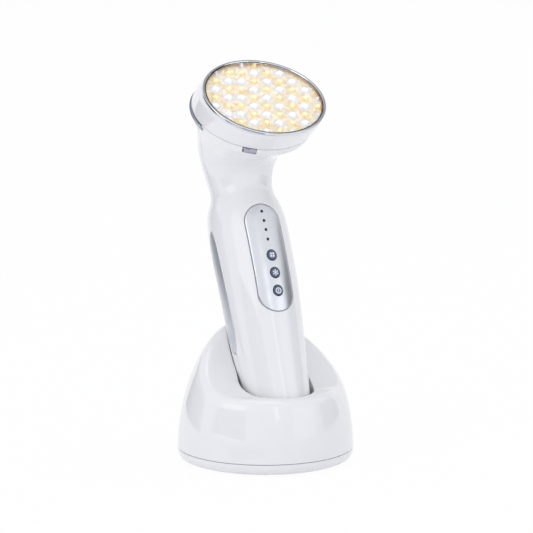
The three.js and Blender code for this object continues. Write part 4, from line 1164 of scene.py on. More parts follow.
@dataclass(frozen=True)
class Fascia:
    """Silver plate in the front of the handle, with four light pips and three keys."""

    form: BodyForm  # the body whose skin the plate follows
    low: float = 56.3  # lower end of the plate
    high: float = 113.9  # upper end of the plate
    half_width: float = 9.6  # half the plate's width
    thickness: float = 1.2  # thickness of the plate
    pip_heights: tuple[float, ...] = (109.9, 104.7, 99.7, 94.5)  # where the light pips are
    pip_radius: float = 0.66  # radius of a pip
    # Height of each key, by its name.
    key_heights: dict[str, float] = field(
        default_factory=lambda: {"mode": 85.9, "level": 76.4, "power": 66.8})
    key_radius: float = 2.5  # radius of a key
    key_shift: float = 0.5  # how far the keys stand to the right of the pips
    key_proud: float = 0.5  # how far a key stands out of the skin
    key_clearance: float = 0.15  # room round a key in its hole
    pip_clearance: float = 0.1  # room round a pip
    flange_radius: float = 4.1  # radius of the flange that holds a key in
    flange_depths: tuple[float, float] = (2.9, 3.8)  # front and back of the flange below the skin
    edge: float = 0.55  # rounding of the plate's edge
    flare: float = 0.5  # how deep the plate's holes are flared
    sign_face: float = 0.36  # how far the faces of the caps under the signs stand out of the skin
    sign_thickness: float = 0.07  # thickness of the signs printed on the keys

    def ring(self, reach: float) -> ndarray:
        """Gives the line at a distance from the plate's spine.

        Formula: half circles about both ends of the spine, joined by straight lines; left and
        right sides share their heights, so that a ring of no reach closes on the spine.

        Args:
            reach: distance from the spine.

        Returns:
            Rows of x and z, once round.
        """
        top, bottom = self.high - self.half_width, self.low + self.half_width
        turn = np.linspace(0.0, math.pi, 29)
        side = np.linspace(top, bottom, 29)[1:-1]
        parts = [
            np.stack([reach * np.cos(turn), top + reach * np.sin(turn)], axis=1),
            np.stack([np.full(len(side), -reach), side], axis=1),
            np.stack([-reach * np.cos(turn), bottom - reach * np.sin(turn)], axis=1),
            np.stack([np.full(len(side), reach), side[::-1]], axis=1),
        ]
        return np.concatenate(parts)

    def on_skin(self, profile: ndarray) -> Patch:
        """Carries a profile round the spine, below the handle's skin.

        Args:
            profile: rows of distance from the spine and depth below the skin.

        Returns:
            A wrapped grid, one row for each point of the profile.
        """
        rings = np.stack([self.ring(float(reach)) for reach in profile[:, 0]])
        skin = self.form.front_at(rings[..., 0], rings[..., 1])
        return Patch(stack(rings[..., 0], skin + profile[:, 1:], rings[..., 1]))

    def recess(self) -> Patch:
        """Shapes the hollow that the plate lies in, with a slightly broken edge.

        Returns:
            The closed grid of its cutter.
        """
        wide, floor = self.half_width + GAP, self.thickness + GAP
        inner = np.linspace(wide, 0.0, 7)
        profile = [[0.0, -8.0], [wide + 0.3, -8.0], [wide + 0.3, 0.0], [wide + 0.1, 0.1], [wide, 0.3]]
        floor_rows = np.stack([inner, np.full(len(inner), floor)], axis=1)
        return self.on_skin(np.concatenate([profile, floor_rows]))

    def post(self, name: str, profile: ndarray, x: float, z: float, sides: int = 64) -> Object:
        """Turns a profile about an axis that comes straight out of the skin's front.

        Args:
            name: the object's name.
            profile: rows of radius and of height out of the skin.
            x: the axis, across.
            z: the axis, up.
            sides: steps round it.

        Returns:
            The object.
        """
        patch = along_y(turned(profile, sides), x, float(self.form.front_at(0.0, z)), z)
        return solid(name, [patch], HANDSET.out)

    def holes(self, flare: float) -> list[Object]:
        """Makes the cutters for keys and pips, flared where they leave the skin.

        Args:
            flare: depth of the flare round the keys.

        Returns:
            The cutters.
        """
        back, front, pip_flare = -3.2, 4.0, 0.1
        key, pip = self.key_radius + self.key_clearance, self.pip_radius + self.pip_clearance
        bores = [(key, flare, self.key_shift, z) for z in self.key_heights.values()]
        bores += [(pip, pip_flare, 0.0, z) for z in self.pip_heights]
        cutters = []
        for radius, drop, x, z in bores:
            profile = np.array([[0.0, back], [radius, back], [radius, -drop],
                                [radius + front, front - drop], [0.0, front - drop]])
            cutters.append(self.post("tool", profile, x, z))
        return cutters

    def plate(self) -> None:
        """Makes the plate: soft at the edge, flat-bottomed, with flared holes."""
        turn = np.linspace(0.0, QUARTER, 7)
        face = np.linspace(0.0, self.half_width - self.edge, 9)
        crown = [self.half_width - self.edge * (1.0 - np.sin(turn)), self.edge * (1.0 - np.cos(turn))]
        rows = [
            np.stack([face[:-1], 0.0 * face[:-1]], axis=1),
            np.stack(crown, axis=1),
            np.array([[self.half_width, self.thickness]]),
            np.stack([face[::-1], np.full(len(face), self.thickness)], axis=1),
        ]
        plate = solid("control_fascia", [self.on_skin(np.concatenate(rows))], HANDSET.out)
        carve(plate, self.holes(self.flare))
        finish_piece(plate, "handset", "silver_panel", SILVER_PANEL, "control_panel")

    def pips(self) -> None:
        """Makes the light guide: a bar behind the plate with four domed pips."""
        first, last = self.pip_heights[0], self.pip_heights[-1]
        turn = np.linspace(0.0, math.pi, 17)
        half, thickness, dome, radius = 1.5, 2.4, 0.25, self.pip_radius
        outline = np.concatenate([
            np.stack([half * np.cos(turn), first + half * np.sin(turn)], axis=1),
            np.stack([-half * np.cos(turn), last - half * np.sin(turn)], axis=1),
        ])
        front = float(self.form.front_at(0.0, first)) + self.form.wall + 2.0 * GAP
        bar = solid("light_pips", [prism(outline, front, front + thickness, axis=1)], HANDSET.out)
        lift = np.linspace(0.0, QUARTER, 6)
        head = np.stack([radius * np.cos(lift), -0.05 + dome * np.sin(lift)], axis=1)
        posts = []
        for z in self.pip_heights:
            root = float(self.form.front_at(0.0, z)) - front - 1.0
            profile = np.concatenate([[[0.0, root], [radius, root]], head])
            posts.append(self.post("tool", profile, 0.0, z, sides=24))
        carve(bar, posts, Carve.JOIN)
        finish_piece(bar, "handset", "smoked_pip", SMOKED_PIP, "light_guide")

    def key(self, name: str, z: float) -> None:
        """Makes a key: its rim with stem and flange, its cap and its sign.

        Args:
            name: the key's name.
            z: its height.
        """
        radius, proud, flange = self.key_radius, self.key_proud, self.flange_radius
        front, back = self.flange_depths
        rim = rounded([
            (0.0, -back, 0.0), (flange, -back, 0.2), (flange, -front, 0.2), (radius, -front, 0.0),
            (radius, proud, 0.35), (radius - 0.5, proud, 0.18), (radius - 0.55, 0.12, 0.0),
            (0.0, 0.12, 0.0),
        ])
        cap = rounded([
            (0.0, 0.02, 0.0), (radius - 0.6, 0.02, 0.0), (radius - 0.6, 0.34, 0.12), (0.0, 0.4, 0.0),
        ])
        body = f"{name}_button"
        rim_piece = self.post(f"{name}_key_rim", rim, self.key_shift, z)
        finish_piece(rim_piece, body, "button_slate", BUTTON_SLATE, body)
        cap_piece = self.post(f"{name}_key_cap", cap, self.key_shift, z)
        # The cap's lighter slate is a painted reflection of the room.
        finish_piece(cap_piece, body, "button_slate", BUTTON_CAP_PAINTED_SHEEN)
        finish_piece(self.sign(name, z), body, "button_slate", SIGN_INK)

    def sign(self, name: str, z: float) -> Object:
        """Prints a key's sign: four squares, a light with rays, or a ring round a bar.

        Args:
            name: the key's name.
            z: its height.

        Returns:
            The sign as a thin closed film on the cap.
        """
        skin, low = float(self.form.front_at(0.0, z)), self.sign_face
        high = low + self.sign_thickness
        patches: list[Patch] = []
        square = 0.36 * np.array([[-1.0, -1.0], [1.0, -1.0], [1.0, 1.0], [-1.0, 1.0]])
        if name == "mode":
            bars = [1.35 * square + [x, up] for x in (-0.65, 0.65) for up in (-0.65, 0.65)]
        elif name == "level":
            turn = around(20)
            bars = [0.55 * np.stack([np.cos(turn), np.sin(turn)], axis=1)]
            ray = square * [0.75, 1.2] + [0.0, 1.15]
            for turn in around(6):
                across = np.array([[math.cos(turn), math.sin(turn)], [-math.sin(turn), math.cos(turn)]])
                bars.append(ray @ across)
        else:
            bars = [square * [0.62, 1.7]]
            ring = np.array([[1.12, low], [1.6, low], [1.6, high], [1.12, high], [1.12, low]])
            patches.append(along_y(turned(ring, 48), self.key_shift, skin, z))
        for outline in bars:
            place = outline + [self.key_shift, z]
            patches.append(prism(place, skin - low - self.sign_thickness, skin - low, axis=1))
        return solid(f"{name}_sign", patches, HANDSET.out)

    def build(self) -> None:
        """Makes plate, pips and keys."""
        self.plate()
        self.pips()
        for name, z in self.key_heights.items():
            self.key(name, z)


# The light head


@dataclass(frozen=True)
class LightHead:
    """Drum, bright bezel, window and the field of lamps, in the head's frame."""

    form: BodyForm  # the handset's body, on whose seam the drum stands
    # Depth and radius of the drum's outside, from the bezel down to the seam.
    drum: tuple[tuple[float, float], ...] = (
        (1.7, 31.85), (3.54, 32.5), (7.245, 32.83), (12.075, 32.83), (15.8, 32.5),
    )
    drum_wall: float = 0.85  # wall of the drum
    drum_edge: float = 0.55  # rounding of the drum's rims
    opening: float = 31.0  # radius of the bezel's opening
    window_radius: float = 30.75  # radius of the window
    window_top: float = -0.2  # height of the window's face
    window_thickness: float = 0.6  # thickness of the window
    board_radius: float = 30.7  # radius of the lamps' board
    board_shift: float = 1.2  # how far the board's centre lies behind the face's
    board_top: float = -2.35  # height of the board's face
    board_thickness: float = 1.0  # thickness of the board
    cell_rise: float = 0.6  # rise of the reflector between the lamps
    lamp_start: tuple[float, float] = (5.05, 8.2)  # place of the lamp in the middle
    lamp_across: tuple[float, float] = (6.82, -0.91)  # step to the next lamp in a row
    lamp_along: tuple[float, float] = (2.74, 6.9)  # step to the next row
    lamp_radius: float = 2.3  # radius of a lamp
    lamp_height: float = 1.45  # height of a lamp
    least_radius: float = 0.75  # radius of the smallest lamp that the board's edge leaves room for
    amber_share: float = 0.75  # how wide an amber lamp is at most, as a share of a white one

    def drifted(self, name: str, loop: ndarray, middle: ndarray) -> Object:
        """Builds a piece of level circles whose centres drift along y.

        Args:
            name: the piece's name.
            loop: rows of radius and height, once round the wall.
            middle: y of each circle's centre, one row each.

        Returns:
            The piece.
        """
        angle, radius = around(240), loop[:, :1]
        points = stack(radius * np.cos(angle), middle + radius * np.sin(angle), loop[:, 1:])
        return solid(name, [Patch(points)], from_head)

    def build_drum(self) -> None:
        """Makes the drum, whose centre drifts with depth, rounded at both rims.

        Formula: at depth d the centre lies at shift * d / seam depth and the radius follows a
        spline through the profile, less the drop of the rounded rims.
        """
        profile = np.array(self.drum)
        top, bottom = profile[0, 0], profile[-1, 0]
        outer = rounded_run(top, bottom, self.drum_edge, 7, 26)
        inner = np.linspace(bottom, top, 12)
        radius = spline(profile[:, 0], profile[:, 1:], outer)[:, 0]
        radius -= edge_drop(np.minimum(outer - top, bottom - outer), self.drum_edge)
        inside = spline(profile[:, 0], profile[:, 1:], inner)[:, 0] - self.drum_wall
        depth = np.concatenate([outer, inner, outer[:1]])
        reach = np.concatenate([radius, inside, radius[:1]])
        middle = self.form.seam_shift * depth[:, None] / self.form.seam_depth
        drum = self.drifted("head_drum", np.stack([reach, -depth], axis=1), middle)
        finish_piece(drum, "handset", "gloss_white", GLOSS_WHITE, "head_ring")

    def rings(self) -> None:
        """Makes what is turned about the face's middle: bezel, window and seal."""
        opening, rim, top = self.opening, self.window_radius, self.window_top
        bottom = top - self.window_thickness
        bezel = rounded([
            (31.5, -1.4, 0.0), (31.95, -1.4, 0.12), (32.5, -0.7, 0.35), (32.4, 0.15, 0.35),
            (31.95, 0.38, 0.35), (31.3, 0.22, 0.25), (opening, -0.25, 0.12), (opening, -1.4, 0.08),
            (31.5, -1.4, 0.0),
        ])
        across = np.linspace(0.0, rim - 0.15, 12)
        crown = top - 0.08 * (across / rim) ** 2
        edge = [[rim, top - 0.2], [rim, bottom + 0.1], [rim - 0.1, bottom], [0.0, bottom]]
        pane = np.concatenate([np.stack([across, crown], axis=1), edge])
        inner, outer, low, high = rim - 0.3, opening - 0.03, top + 0.005, top + 0.13
        seal = rounded([
            (outer, low, 0.0), (outer, high, 0.04), (inner, high, 0.05), (inner, low, 0.0),
            (outer, low, 0.0),
        ], steps=3)
        for name, profile, sides, slot, finish, nodes in (
            ("bright_bezel", bezel, 288, "chrome", CHROME, ["bezel_ring"]),
            ("window", pane, 240, "clear_lens", WINDOW, ["lens"]),
            ("window_seal", seal, 288, "black_plastic", BLACK_PLASTIC, []),
        ):
            ring = solid(name, [turned(profile, sides)], from_head)
            finish_piece(ring, "handset", slot, finish, *nodes)
            ring.visible_shadow = finish is not WINDOW

    def lattice(self) -> tuple[ndarray, ndarray, ndarray]:
        """Lays out the lamps on a skewed lattice and says which of them are white.

        Formula: a lamp at the board's edge is as wide as the edge leaves room for.

        Returns:
            Places of the lamps in the face's plane, their radii, and a mask of the white ones.
        """
        i, j = np.meshgrid(np.arange(-9, 10), np.arange(-9, 10), indexing="ij")
        steps = np.stack([i.ravel(), j.ravel()], axis=1)
        places = np.array(self.lamp_start) + steps @ np.array([self.lamp_across, self.lamp_along])
        from_board = np.hypot(places[:, 0], places[:, 1] - self.board_shift)
        radius = np.minimum(self.lamp_radius, self.board_radius - 0.1 - from_board)
        kept = radius >= self.least_radius
        column = np.where(steps[:, 0] >= -2, steps[:, 0], steps[:, 0] + 1)
        white = (column + steps[:, 1]) % 2 == 1
        return places[kept], radius[kept], white[kept]

    def lamps(self, name: str, places: ndarray, radii: ndarray) -> Object:
        """Builds the domed lamps of one colour, each with its glow.

        Formula: at a share d of the radius the glow is 1.35 - d (0.9 + 0.8 q), with q the share
        |2 u v| / d^2 between the rays, so that four rays reach out from the middle.

        Args:
            name: the piece's name.
            places: places of the lamps.
            radii: their radii.

        Returns:
            The piece, with its glow.
        """
        lift = np.linspace(0.0, QUARTER, 9)
        shoulder = self.lamp_height * 0.3
        dome = np.stack([np.cos(lift), shoulder + (self.lamp_height - shoulder) * np.sin(lift)], axis=1)
        lamp = turned(np.concatenate([[[0.0, -0.5], [1.0, -0.5]], dome]), 24).points
        patches = [Patch(lamp * [radius, radius, 1.0] + [*place, self.board_top])
                   for place, radius in zip(places, radii)]
        piece = solid(name, patches, from_head)
        near, distance = self.nearest(piece, places)
        local = (self.in_head(piece)[:, :2] - places[near]) / radii[near][:, None]
        share = distance / radii[near]
        between = np.abs(2.0 * local[:, 0] * local[:, 1]) / np.maximum(share**2, 1e-6)
        self.mark(piece, np.clip(1.35 - share * (0.9 + 0.8 * between), 0.25, 1.0))
        return piece

    def in_head(self, piece: Object) -> ndarray:
        """Reads a piece's points in the head's frame.

        Args:
            piece: the piece.

        Returns:
            One row of x, y, z for each point, in millimetres.
        """
        flat = np.empty(len(piece.data.vertices) * 3)
        piece.data.vertices.foreach_get("co", flat)
        return HEAD.into(HANDSET.into(flat.reshape(-1, 3) / MM))

    def nearest(self, piece: Object, places: ndarray) -> tuple[ndarray, ndarray]:
        """Finds the nearest of some places to each point of a piece.

        Args:
            piece: the piece.
            places: rows of x and y in the head's frame.

        Returns:
            For each point the number of its nearest place, and how far off that is.
        """
        points = self.in_head(piece)
        distance = np.hypot(points[:, :1] - places[:, 0], points[:, 1:2] - places[:, 1])
        near = np.argmin(distance, axis=1)
        return near, distance[np.arange(len(near)), near]

    def mark(self, piece: Object, glow: ndarray) -> None:
        """Stores one glow value for each point of a piece."""
        layer = piece.data.attributes.new(GLOW, "FLOAT", "POINT")
        layer.data.foreach_set("value", glow.astype(np.float32))

    def board(self, places: ndarray, radii: ndarray, white: ndarray) -> Object:
        """Builds the reflector board: a plate pressed into one shallow cup for each lamp.

        Formula: the face rises by a smooth step of the distance to the nearest lamp, and its glow rises
        from 0 to 1 between 0.3 and 1.5 mm outside a white lamp: from the painted cool light of the white
        lamps to the painted amber reflection of the others.

        Args:
            places: places of the lamps.
            radii: their radii.
            white: mask of the white ones.

        Returns:
            The piece, with its glow: the mask of painted lamp light.
        """
        reach = np.linspace(self.board_radius, 0.0, 100)[:, None]
        angle = around(320)
        x = reach * np.cos(angle)
        y = self.board_shift + reach * np.sin(angle)
        distance = np.min(np.hypot(x[..., None] - places[:, 0], y[..., None] - places[:, 1]), axis=-1)
        height = self.board_top + self.cell_rise * smooth((distance - self.lamp_radius) / 1.5)
        face = stack(x, y, height)
        bottom = self.board_top - self.board_thickness
        rim = stack(x[:1], y[:1], bottom)
        centre = stack(0.0 * x[:1], 0.0 * x[:1] + self.board_shift, bottom)
        points = np.concatenate([centre, rim, face])
        piece = solid("reflector_board", [Patch(points)], from_head)
        # Glow mask: 0 by a white lamp, where its light is painted cool, rising to 1 where the amber
        # reflection is painted.
        near, from_white = self.nearest(piece, places[white])
        self.mark(piece, np.clip((from_white - radii[white][near] - 0.3) / 1.2, 0.0, 1.0))
        return piece

    def collar(self) -> Object:
        """Builds the collar between window and board: a thin cone whose centre drifts.

        Returns:
            The collar.
        """
        top, bottom = -1.35, -2.45
        loop = np.array([[30.95, top], [30.85, -1.9], [30.7, bottom], [30.85, bottom], [31.05, -1.9],
                         [31.2, top], [30.95, top]])
        middle = self.board_shift * (loop[:, 1:] - top) / (bottom - top)
        return self.drifted("reflector_collar", loop, middle)

    def build(self) -> None:
        """Makes every piece of the head."""
        self.build_drum()
        self.rings()
        places, radii, white = self.lattice()
        amber_radii = np.minimum(radii[~white], self.amber_share * self.lamp_radius)
        for piece, finish in (
            (self.board(places, radii, white), LAMP_BOARD),
            (self.collar(), COLLAR),
            (self.lamps("lamps_white", places[white], radii[white]), LAMP_WHITE),
            (self.lamps("lamps_amber", places[~white], amber_radii), LAMP_AMBER),
        ):
            finish_piece(piece, "handset", "led_amber", finish, "led_board")


# The handset's foot


@dataclass(frozen=True)
class Screw:
    """A cross-recessed screw with its head's face at height 0 and its shaft downwards."""

    head_height: float  # height of the head
    length: float  # length below the head's face
    head: float = 2.4  # radius of the head
    shaft: float = 1.2  # radius of the shaft

    def build(self, name: str, place: Placing, body: str, node: str) -> None:
        """Builds the screw, cuts its recess and dresses it.

        Args:
            name: the piece's name.
            place: carries its points into the world frame.
            body: the body it moves with.
            node: the construction node that it replaces.
        """
        head, low = self.head, -self.head_height
        profile = rounded([
            (0.0, 0.0, 0.0), (head, -0.12, 0.3), (head, low, 0.1), (self.shaft, low, 0.1),
            (self.shaft, -self.length + 0.8, 0.2), (0.0, -self.length, 0.0),
        ])
        slot = np.array([[-0.26, -1.2], [0.26, -1.2], [0.26, 1.2], [-0.26, 1.2]]) * (head / 2.2)
        depth = min(0.9, self.head_height * 0.7)
        cone = ((0.0, 0.5), (1.0, 0.5), (0.72, -depth), (0.0, -depth))
        cutters = [Patch(np.stack([np.insert(outline * share, 2, level, axis=1) for share, level in cone]))
                   for outline in (slot, slot[:, ::-1])]
        piece = solid(name, [turned(profile, 40)], place)
        carve(piece, [solid("tool", [cutter], place) for cutter in cutters])
        finish_piece(piece, body, "steel", STEEL, node)


@dataclass(frozen=True)
class Foot:
    """Cover under the handle, its contacts, the shells' screw and the cradle's charging pins."""

    form: BodyForm  # the body that the cover follows
    height: float = 3.6  # height of the cover
    rounding: float = 2.4  # rounding of the cover's lower edge
    contact_x: float = 6.0  # how far the contacts lie from the middle
    contact_radius: float = 2.6  # radius of a contact
    contact_recess: float = 1.0  # how far a contact lies above the foot's face
    pin_radius: float = 1.1  # radius of a charging pin
    pin_flange: float = 1.8  # radius of the pin's flange
    screw_head: float = 1.6  # height of the shells' screw's head
    screw_tip: float = -7.0  # y of the screw's tip
    edge: float = 0.35  # rounding of the cover's upper edge

    def cover(self) -> None:
        """Makes the cover: the handle's section, with holes for the contacts.

        Formula: at a quarter turn's angle t the height is rounding (1 - sin t) and the inset
        rounding (1 - cos t), below at the large rounding and above at the small one.
        """
        low, high = np.linspace(QUARTER, 0.0, 12), np.linspace(0.0, QUARTER, 5)
        top_z = self.height - self.edge * (1.0 - np.sin(high))
        z = np.concatenate([self.rounding * (1.0 - np.sin(low)), top_z])[:, None]
        top_inset = self.edge * (1.0 - np.cos(high))
        inset = np.concatenate([self.rounding * (1.0 - np.cos(low)), top_inset])[:, None]
        angle = around(220)
        rings = self.form.point(np.broadcast_to(self.form.run_at(z), (len(z), len(angle))), angle, inset)
        ends = [np.broadcast_to([0.0, self.form.foot_y, level], (1, len(angle), 3))
                for level in (0.0, self.height)]
        piece = solid("foot_cover", [Patch(np.concatenate([ends[0], rings, ends[1]]))], HANDSET.out)
        bore = np.array([[0.0, -3.0], [3.3, -3.0], [3.3, -0.4], [2.9, 0.3], [2.9, 8.0], [0.0, 8.0]])
        carve(piece, [self.stand("tool", bore, x) for x in (-self.contact_x, self.contact_x)])
        finish_piece(piece, "handset", "gloss_white", GLOSS_WHITE, "foot_cap")

    def stand(self, name: str, profile: ndarray, x: float) -> Object:
        """Turns a profile about a contact's axis."""
        return solid(name, [turned(profile, 48, (x, self.form.foot_y))], HANDSET.out)

    def build(self) -> None:
        """Makes cover, contacts, screw and pins."""
        self.cover()
        low, radius = self.contact_recess, self.contact_radius
        contact = rounded([
            (0.0, low + 0.25, 0.0), (radius * 0.7, low, 0.6), (radius, low, 0.3), (radius, 3.9, 0.0),
            (radius + 0.9, 3.9, 0.1), (radius + 0.9, 4.7, 0.1), (0.0, 4.7, 0.0),
        ])
        thin, flange = self.pin_radius, self.pin_flange
        pin = rounded([
            (0.0, -7.5, 0.0), (thin, -7.5, 0.2), (thin, -3.7, 0.0), (flange, -3.7, 0.1),
            (flange, -2.9, 0.1), (thin, -2.9, 0.05), (thin, 0.7, 0.75), (0.0, 0.7, 0.0),
        ])
        for side, x in (("left", -self.contact_x), ("right", self.contact_x)):
            plate = self.stand(f"contact_plate_{side}", contact, x)
            finish_piece(plate, "handset", "brass", BRASS, f"charge_contact_{side}")
            tip = self.stand(f"charging_pin_{side}", pin, x)
            finish_piece(tip, f"contact_pin_{side}", "brass", BRASS, f"contact_pin_{side}")
        back = float(self.form.point(self.form.run_at(SCREW_Z), np.array(QUARTER))[1])
        face_y = back - SCREW_SINK + GAP + self.screw_head

        def lay(points: ndarray) -> ndarray:
            """Lays the screw down with its head towards +y: (x, y, z) becomes (x, z, -y)."""
            across, deep, high = np.moveaxis(points, -1, 0)
            return HANDSET.out(stack(across, high + face_y, SCREW_Z - deep))

        Screw(self.screw_head, face_y - self.screw_tip).build("case_screw", lay, "handset", "shell_screw")


# The cradle


@dataclass(frozen=True)
class Cradle:
    """Domed shell with a scooped lip and a pocket, on its base, in the world frame."""

    form: BodyForm  # the handset's body, which the pocket follows
    radius: float = 45.7  # radius of the dome's foot
    seam_z: float = 7.0  # height of the seam above the base
    dome_height: float = 73.0  # height of the whole dome above the seam
    dome_power: float = 1.9  # how fast the dome's wall turns over
    lip_z: float = 39.6  # height of the scooped lip in front
    scoop_start: float = -27.0  # y where the scoop starts to rise
    scoop_rise: float = 0.0162  # how fast it rises
    blend: float = 9.0  # rounding of the crest between dome and scoop, as a difference of heights
    wall: float = 2.2  # wall of the shell
    clearance: tuple[float, float] = (0.8, 2.2)  # room round the foot, and at the mouth
    mouth_z: float = 22.0  # height where the room is widest
    # Heights between which the pocket closes in again up its sides.
    closing: tuple[float, float] = (22.0, 34.0)
    side_room: float = 0.2  # room above that
    well_wall: float = 2.0  # wall of the well
    floor: float = -0.3  # height of the well's floor, below the foot
    mouth_edge: float = 1.0  # how far the rounded mouth reaches
    seam_edge: float = 0.4  # rounding of the edges at the seam
    pin_x: float = 6.0  # how far the charging pins are from the middle
    screw_ring: float = 37.6  # how far the base's screws are from the middle
    screw_z: float = 1.2  # height of the screws' faces
    jack_z: float = 15.7  # height of the power socket
    jack_y: float = 41.3  # y of the socket's face

    def skin_z(self, x: ndarray, y: ndarray, inset: float = 0.0) -> ndarray:
        """Gives the height of the shell over x and y.

        Formula: the lower of the dome, seam + height (1 - share^2)^(1 / power), and the scoop,
        lip + rise (y - start)^2, rounded over by blend (1 - difference / blend)^2 / 4.

        Args:
            x: across.
            y: deep.
            inset: how far inside the skin.

        Returns:
            The height.
        """
        share = np.clip(np.hypot(x, y) / (self.radius - inset), 0.0, 1.0)
        rise = self.dome_height * (1.0 - share**2) ** (1.0 / self.dome_power)
        dome = self.seam_z + rise * (1.0 - inset / self.dome_height)
        scoop = self.lip_z + self.scoop_rise * np.maximum(0.0, y - self.scoop_start) ** 2 - inset
        mix = np.maximum(self.blend - np.abs(dome - scoop), 0.0) / self.blend
        return np.minimum(dome, scoop) - mix * mix * self.blend * 0.25

    def well(self, angle: ndarray, height: ndarray, grow: float = 0.0) -> ndarray:
        """Gives points of the pocket's wall: the handset's section plus the room round it.

        Formula: the room grows evenly from the foot to the mouth, and eases from there to the
        side's room between the closing heights.

        Args:
            angle: angles round the section.
            height: heights in the handset's frame.
            grow: how far outside the wall.

        Returns:
            Points in the world frame.
        """
        share = np.clip(height / self.mouth_z, 0.0, 1.0)
        room = self.clearance[0] + (self.clearance[1] - self.clearance[0]) * share
        closing = smooth((height - self.closing[0]) / (self.closing[1] - self.closing[0]))
        room = room + (self.side_room - room) * closing + grow
        points = self.form.point(self.form.run_at(height), angle, -room)
        return HANDSET.out(points + stack(0.0, 0.0, np.minimum(height, 0.0)))

    def mouth(self, angle: ndarray, grow: float, inset: float) -> ndarray:
        """Finds how high the pocket's wall meets the skin.

        Args:
            angle: angles round the section.
            grow: how far outside the wall.
            inset: how far inside the skin.

        Returns:
            The height at each angle, in the handset's frame.
        """
        def above(height: ndarray) -> ndarray:
            """Says where the wall stands above the skin."""
            x, y, z = np.moveaxis(self.well(angle, height, grow), -1, 0)
            return z > self.skin_z(x, y, inset)

        return halve(np.zeros_like(angle), np.full_like(angle, 100.0), above, 40)

    def shell(self) -> None:
        """Makes the shell, a closed skin with holes for the pins and the socket.

        Formula: for each angle a line runs from the well's floor up its wall, over a rounded
        mouth, straight out in plan to the dome's foot at the skin's height, in under the seam, and
        back inside the wall. Out from the mouth the share of the way is 1 - (1 - w)^2, which keeps
        the rows even where the dome turns down.
        """
        angle = around(300)
        out_share = 1.0 - (1.0 - np.linspace(0.0, 1.0, 121)) ** 2
        foot = stack(self.radius * np.cos(angle), self.radius * np.sin(angle), self.seam_z)
        top = self.mouth(angle, 0.0, 0.0)
        rim = self.well(angle, top)
        reach = np.linalg.norm((foot - rim)[:, :2], axis=1)
        first = self.mouth_edge / reach
        share = first + (1.0 - first) * out_share[:, None]
        outer = rim + (foot - rim) * share[..., None]
        skin = self.skin_z(outer[..., 0], outer[..., 1])
        outer[..., 2] = np.maximum(skin, self.seam_z + self.seam_edge)
        up = np.linspace(0.0, 1.0, 22)[:, None]
        wall = self.well(angle, self.floor + (top - self.mouth_edge - self.floor) * up)
        bend = np.linspace(0.0, 1.0, 7)[1:-1, None, None]
        lip = (1.0 - bend) ** 2 * wall[-1] + 2.0 * bend * (1.0 - bend) * rim + bend**2 * outer[0]
        turn = np.linspace(0.0, QUARTER, 5)[1:, None]
        low_radius = self.radius - self.seam_edge * (1.0 - np.cos(turn))
        low_z = self.seam_z + self.seam_edge * (1.0 - np.sin(turn))
        edge = stack(low_radius * np.cos(angle), low_radius * np.sin(angle), low_z)
        inner_foot = foot * [1.0 - self.wall / self.radius, 1.0 - self.wall / self.radius, 1.0]
        inner_top = self.mouth(angle, self.well_wall, self.wall)
        inner_rim = self.well(angle, inner_top, self.well_wall)
        back_share = np.linspace(1.0, 0.0, 36)[:, None] ** 0.5
        hollow = inner_rim + (inner_foot - inner_rim) * back_share[..., None]
        hollow[..., 2] = np.maximum(self.skin_z(hollow[..., 0], hollow[..., 1], self.wall), self.seam_z)
        hollow[0] = inner_foot
        under = self.floor - self.well_wall
        down = np.linspace(1.0, 0.0, 16)[:, None]
        outside = self.well(angle, under + (inner_top - under) * down, self.well_wall)
        poles = [HANDSET.out(stack(0.0 * angle, self.form.foot_y, level))[None]
                 for level in (self.floor, under)]
        rows = [poles[0], wall, lip, outer, edge, hollow, outside, poles[1]]
        piece = solid("cradle_body", [Patch(np.concatenate(rows))])
        hole = np.array([[0.0, -8.0], [1.4, -8.0], [1.4, -0.5], [1.7, 0.1], [1.7, 2.0], [0.0, 2.0]])
        window = np.array([[0.0, -60.0], [4.9, -60.0], [4.9, -45.2], [4.0, -44.3], [4.0, -38.0],
                           [0.0, -38.0]])
        cutters = [solid("tool", [turned(hole, 32, (x, self.form.foot_y))], HANDSET.out)
                   for x in (-self.pin_x, self.pin_x)]
        cutters.append(solid("tool", [along_y(turned(window, 64), 0.0, 0.0, self.jack_z)]))
        carve(piece, cutters)
        finish_piece(piece, "cradle", "gloss_white", GLOSS_WHITE, "cradle_shell")

    def base(self) -> None:
        """Makes the pad and the base, a turned tray recessed for its screws."""
        profile = rounded([
            (0.0, 1.0, 0.0), (31.3, 1.0, 0.1), (31.3, 0.8, 0.08), (41.4, 0.8, 1.5), (44.4, 1.9, 2.4),
            (45.5, 4.6, 3.0), (self.radius, 6.75, self.seam_edge), (43.4, 6.75, 0.1), (43.1, 4.2, 0.6),
            (41.7, 3.0, 0.6), (0.0, 3.0, 0.0),
        ], steps=7)
        piece = solid("cradle_base", [turned(profile, 300)])
        hole = np.array([[0.0, -1.0], [2.9, -1.0], [2.9, 0.7], [2.7, 0.9], [2.7, 2.1], [1.5, 2.1],
                         [1.5, 6.0], [0.0, 6.0]])
        carve(piece, [solid("tool", [turned(hole, 40, place)]) for place in self.screw_places()])
        finish_piece(piece, "cradle", "gloss_white", GLOSS_WHITE, "base_plate")
        pad = rounded([(0.0, 0.0, 0.0), (31.0, 0.0, 0.25), (31.0, 1.0, 0.1), (0.0, 1.0, 0.0)])
        finish_piece(solid("rubber_pad", [turned(pad, 240)]), "cradle", "pad_rubber", PAD_RUBBER,
                     "non_slip_pad")

    def screw_places(self) -> list[tuple[float, float]]:
        """Where the base's four screws are."""
        turns = [math.radians(degrees) for degrees in (45.0, 135.0, 225.0, 315.0)]
        return [(self.screw_ring * math.cos(turn), self.screw_ring * math.sin(turn)) for turn in turns]

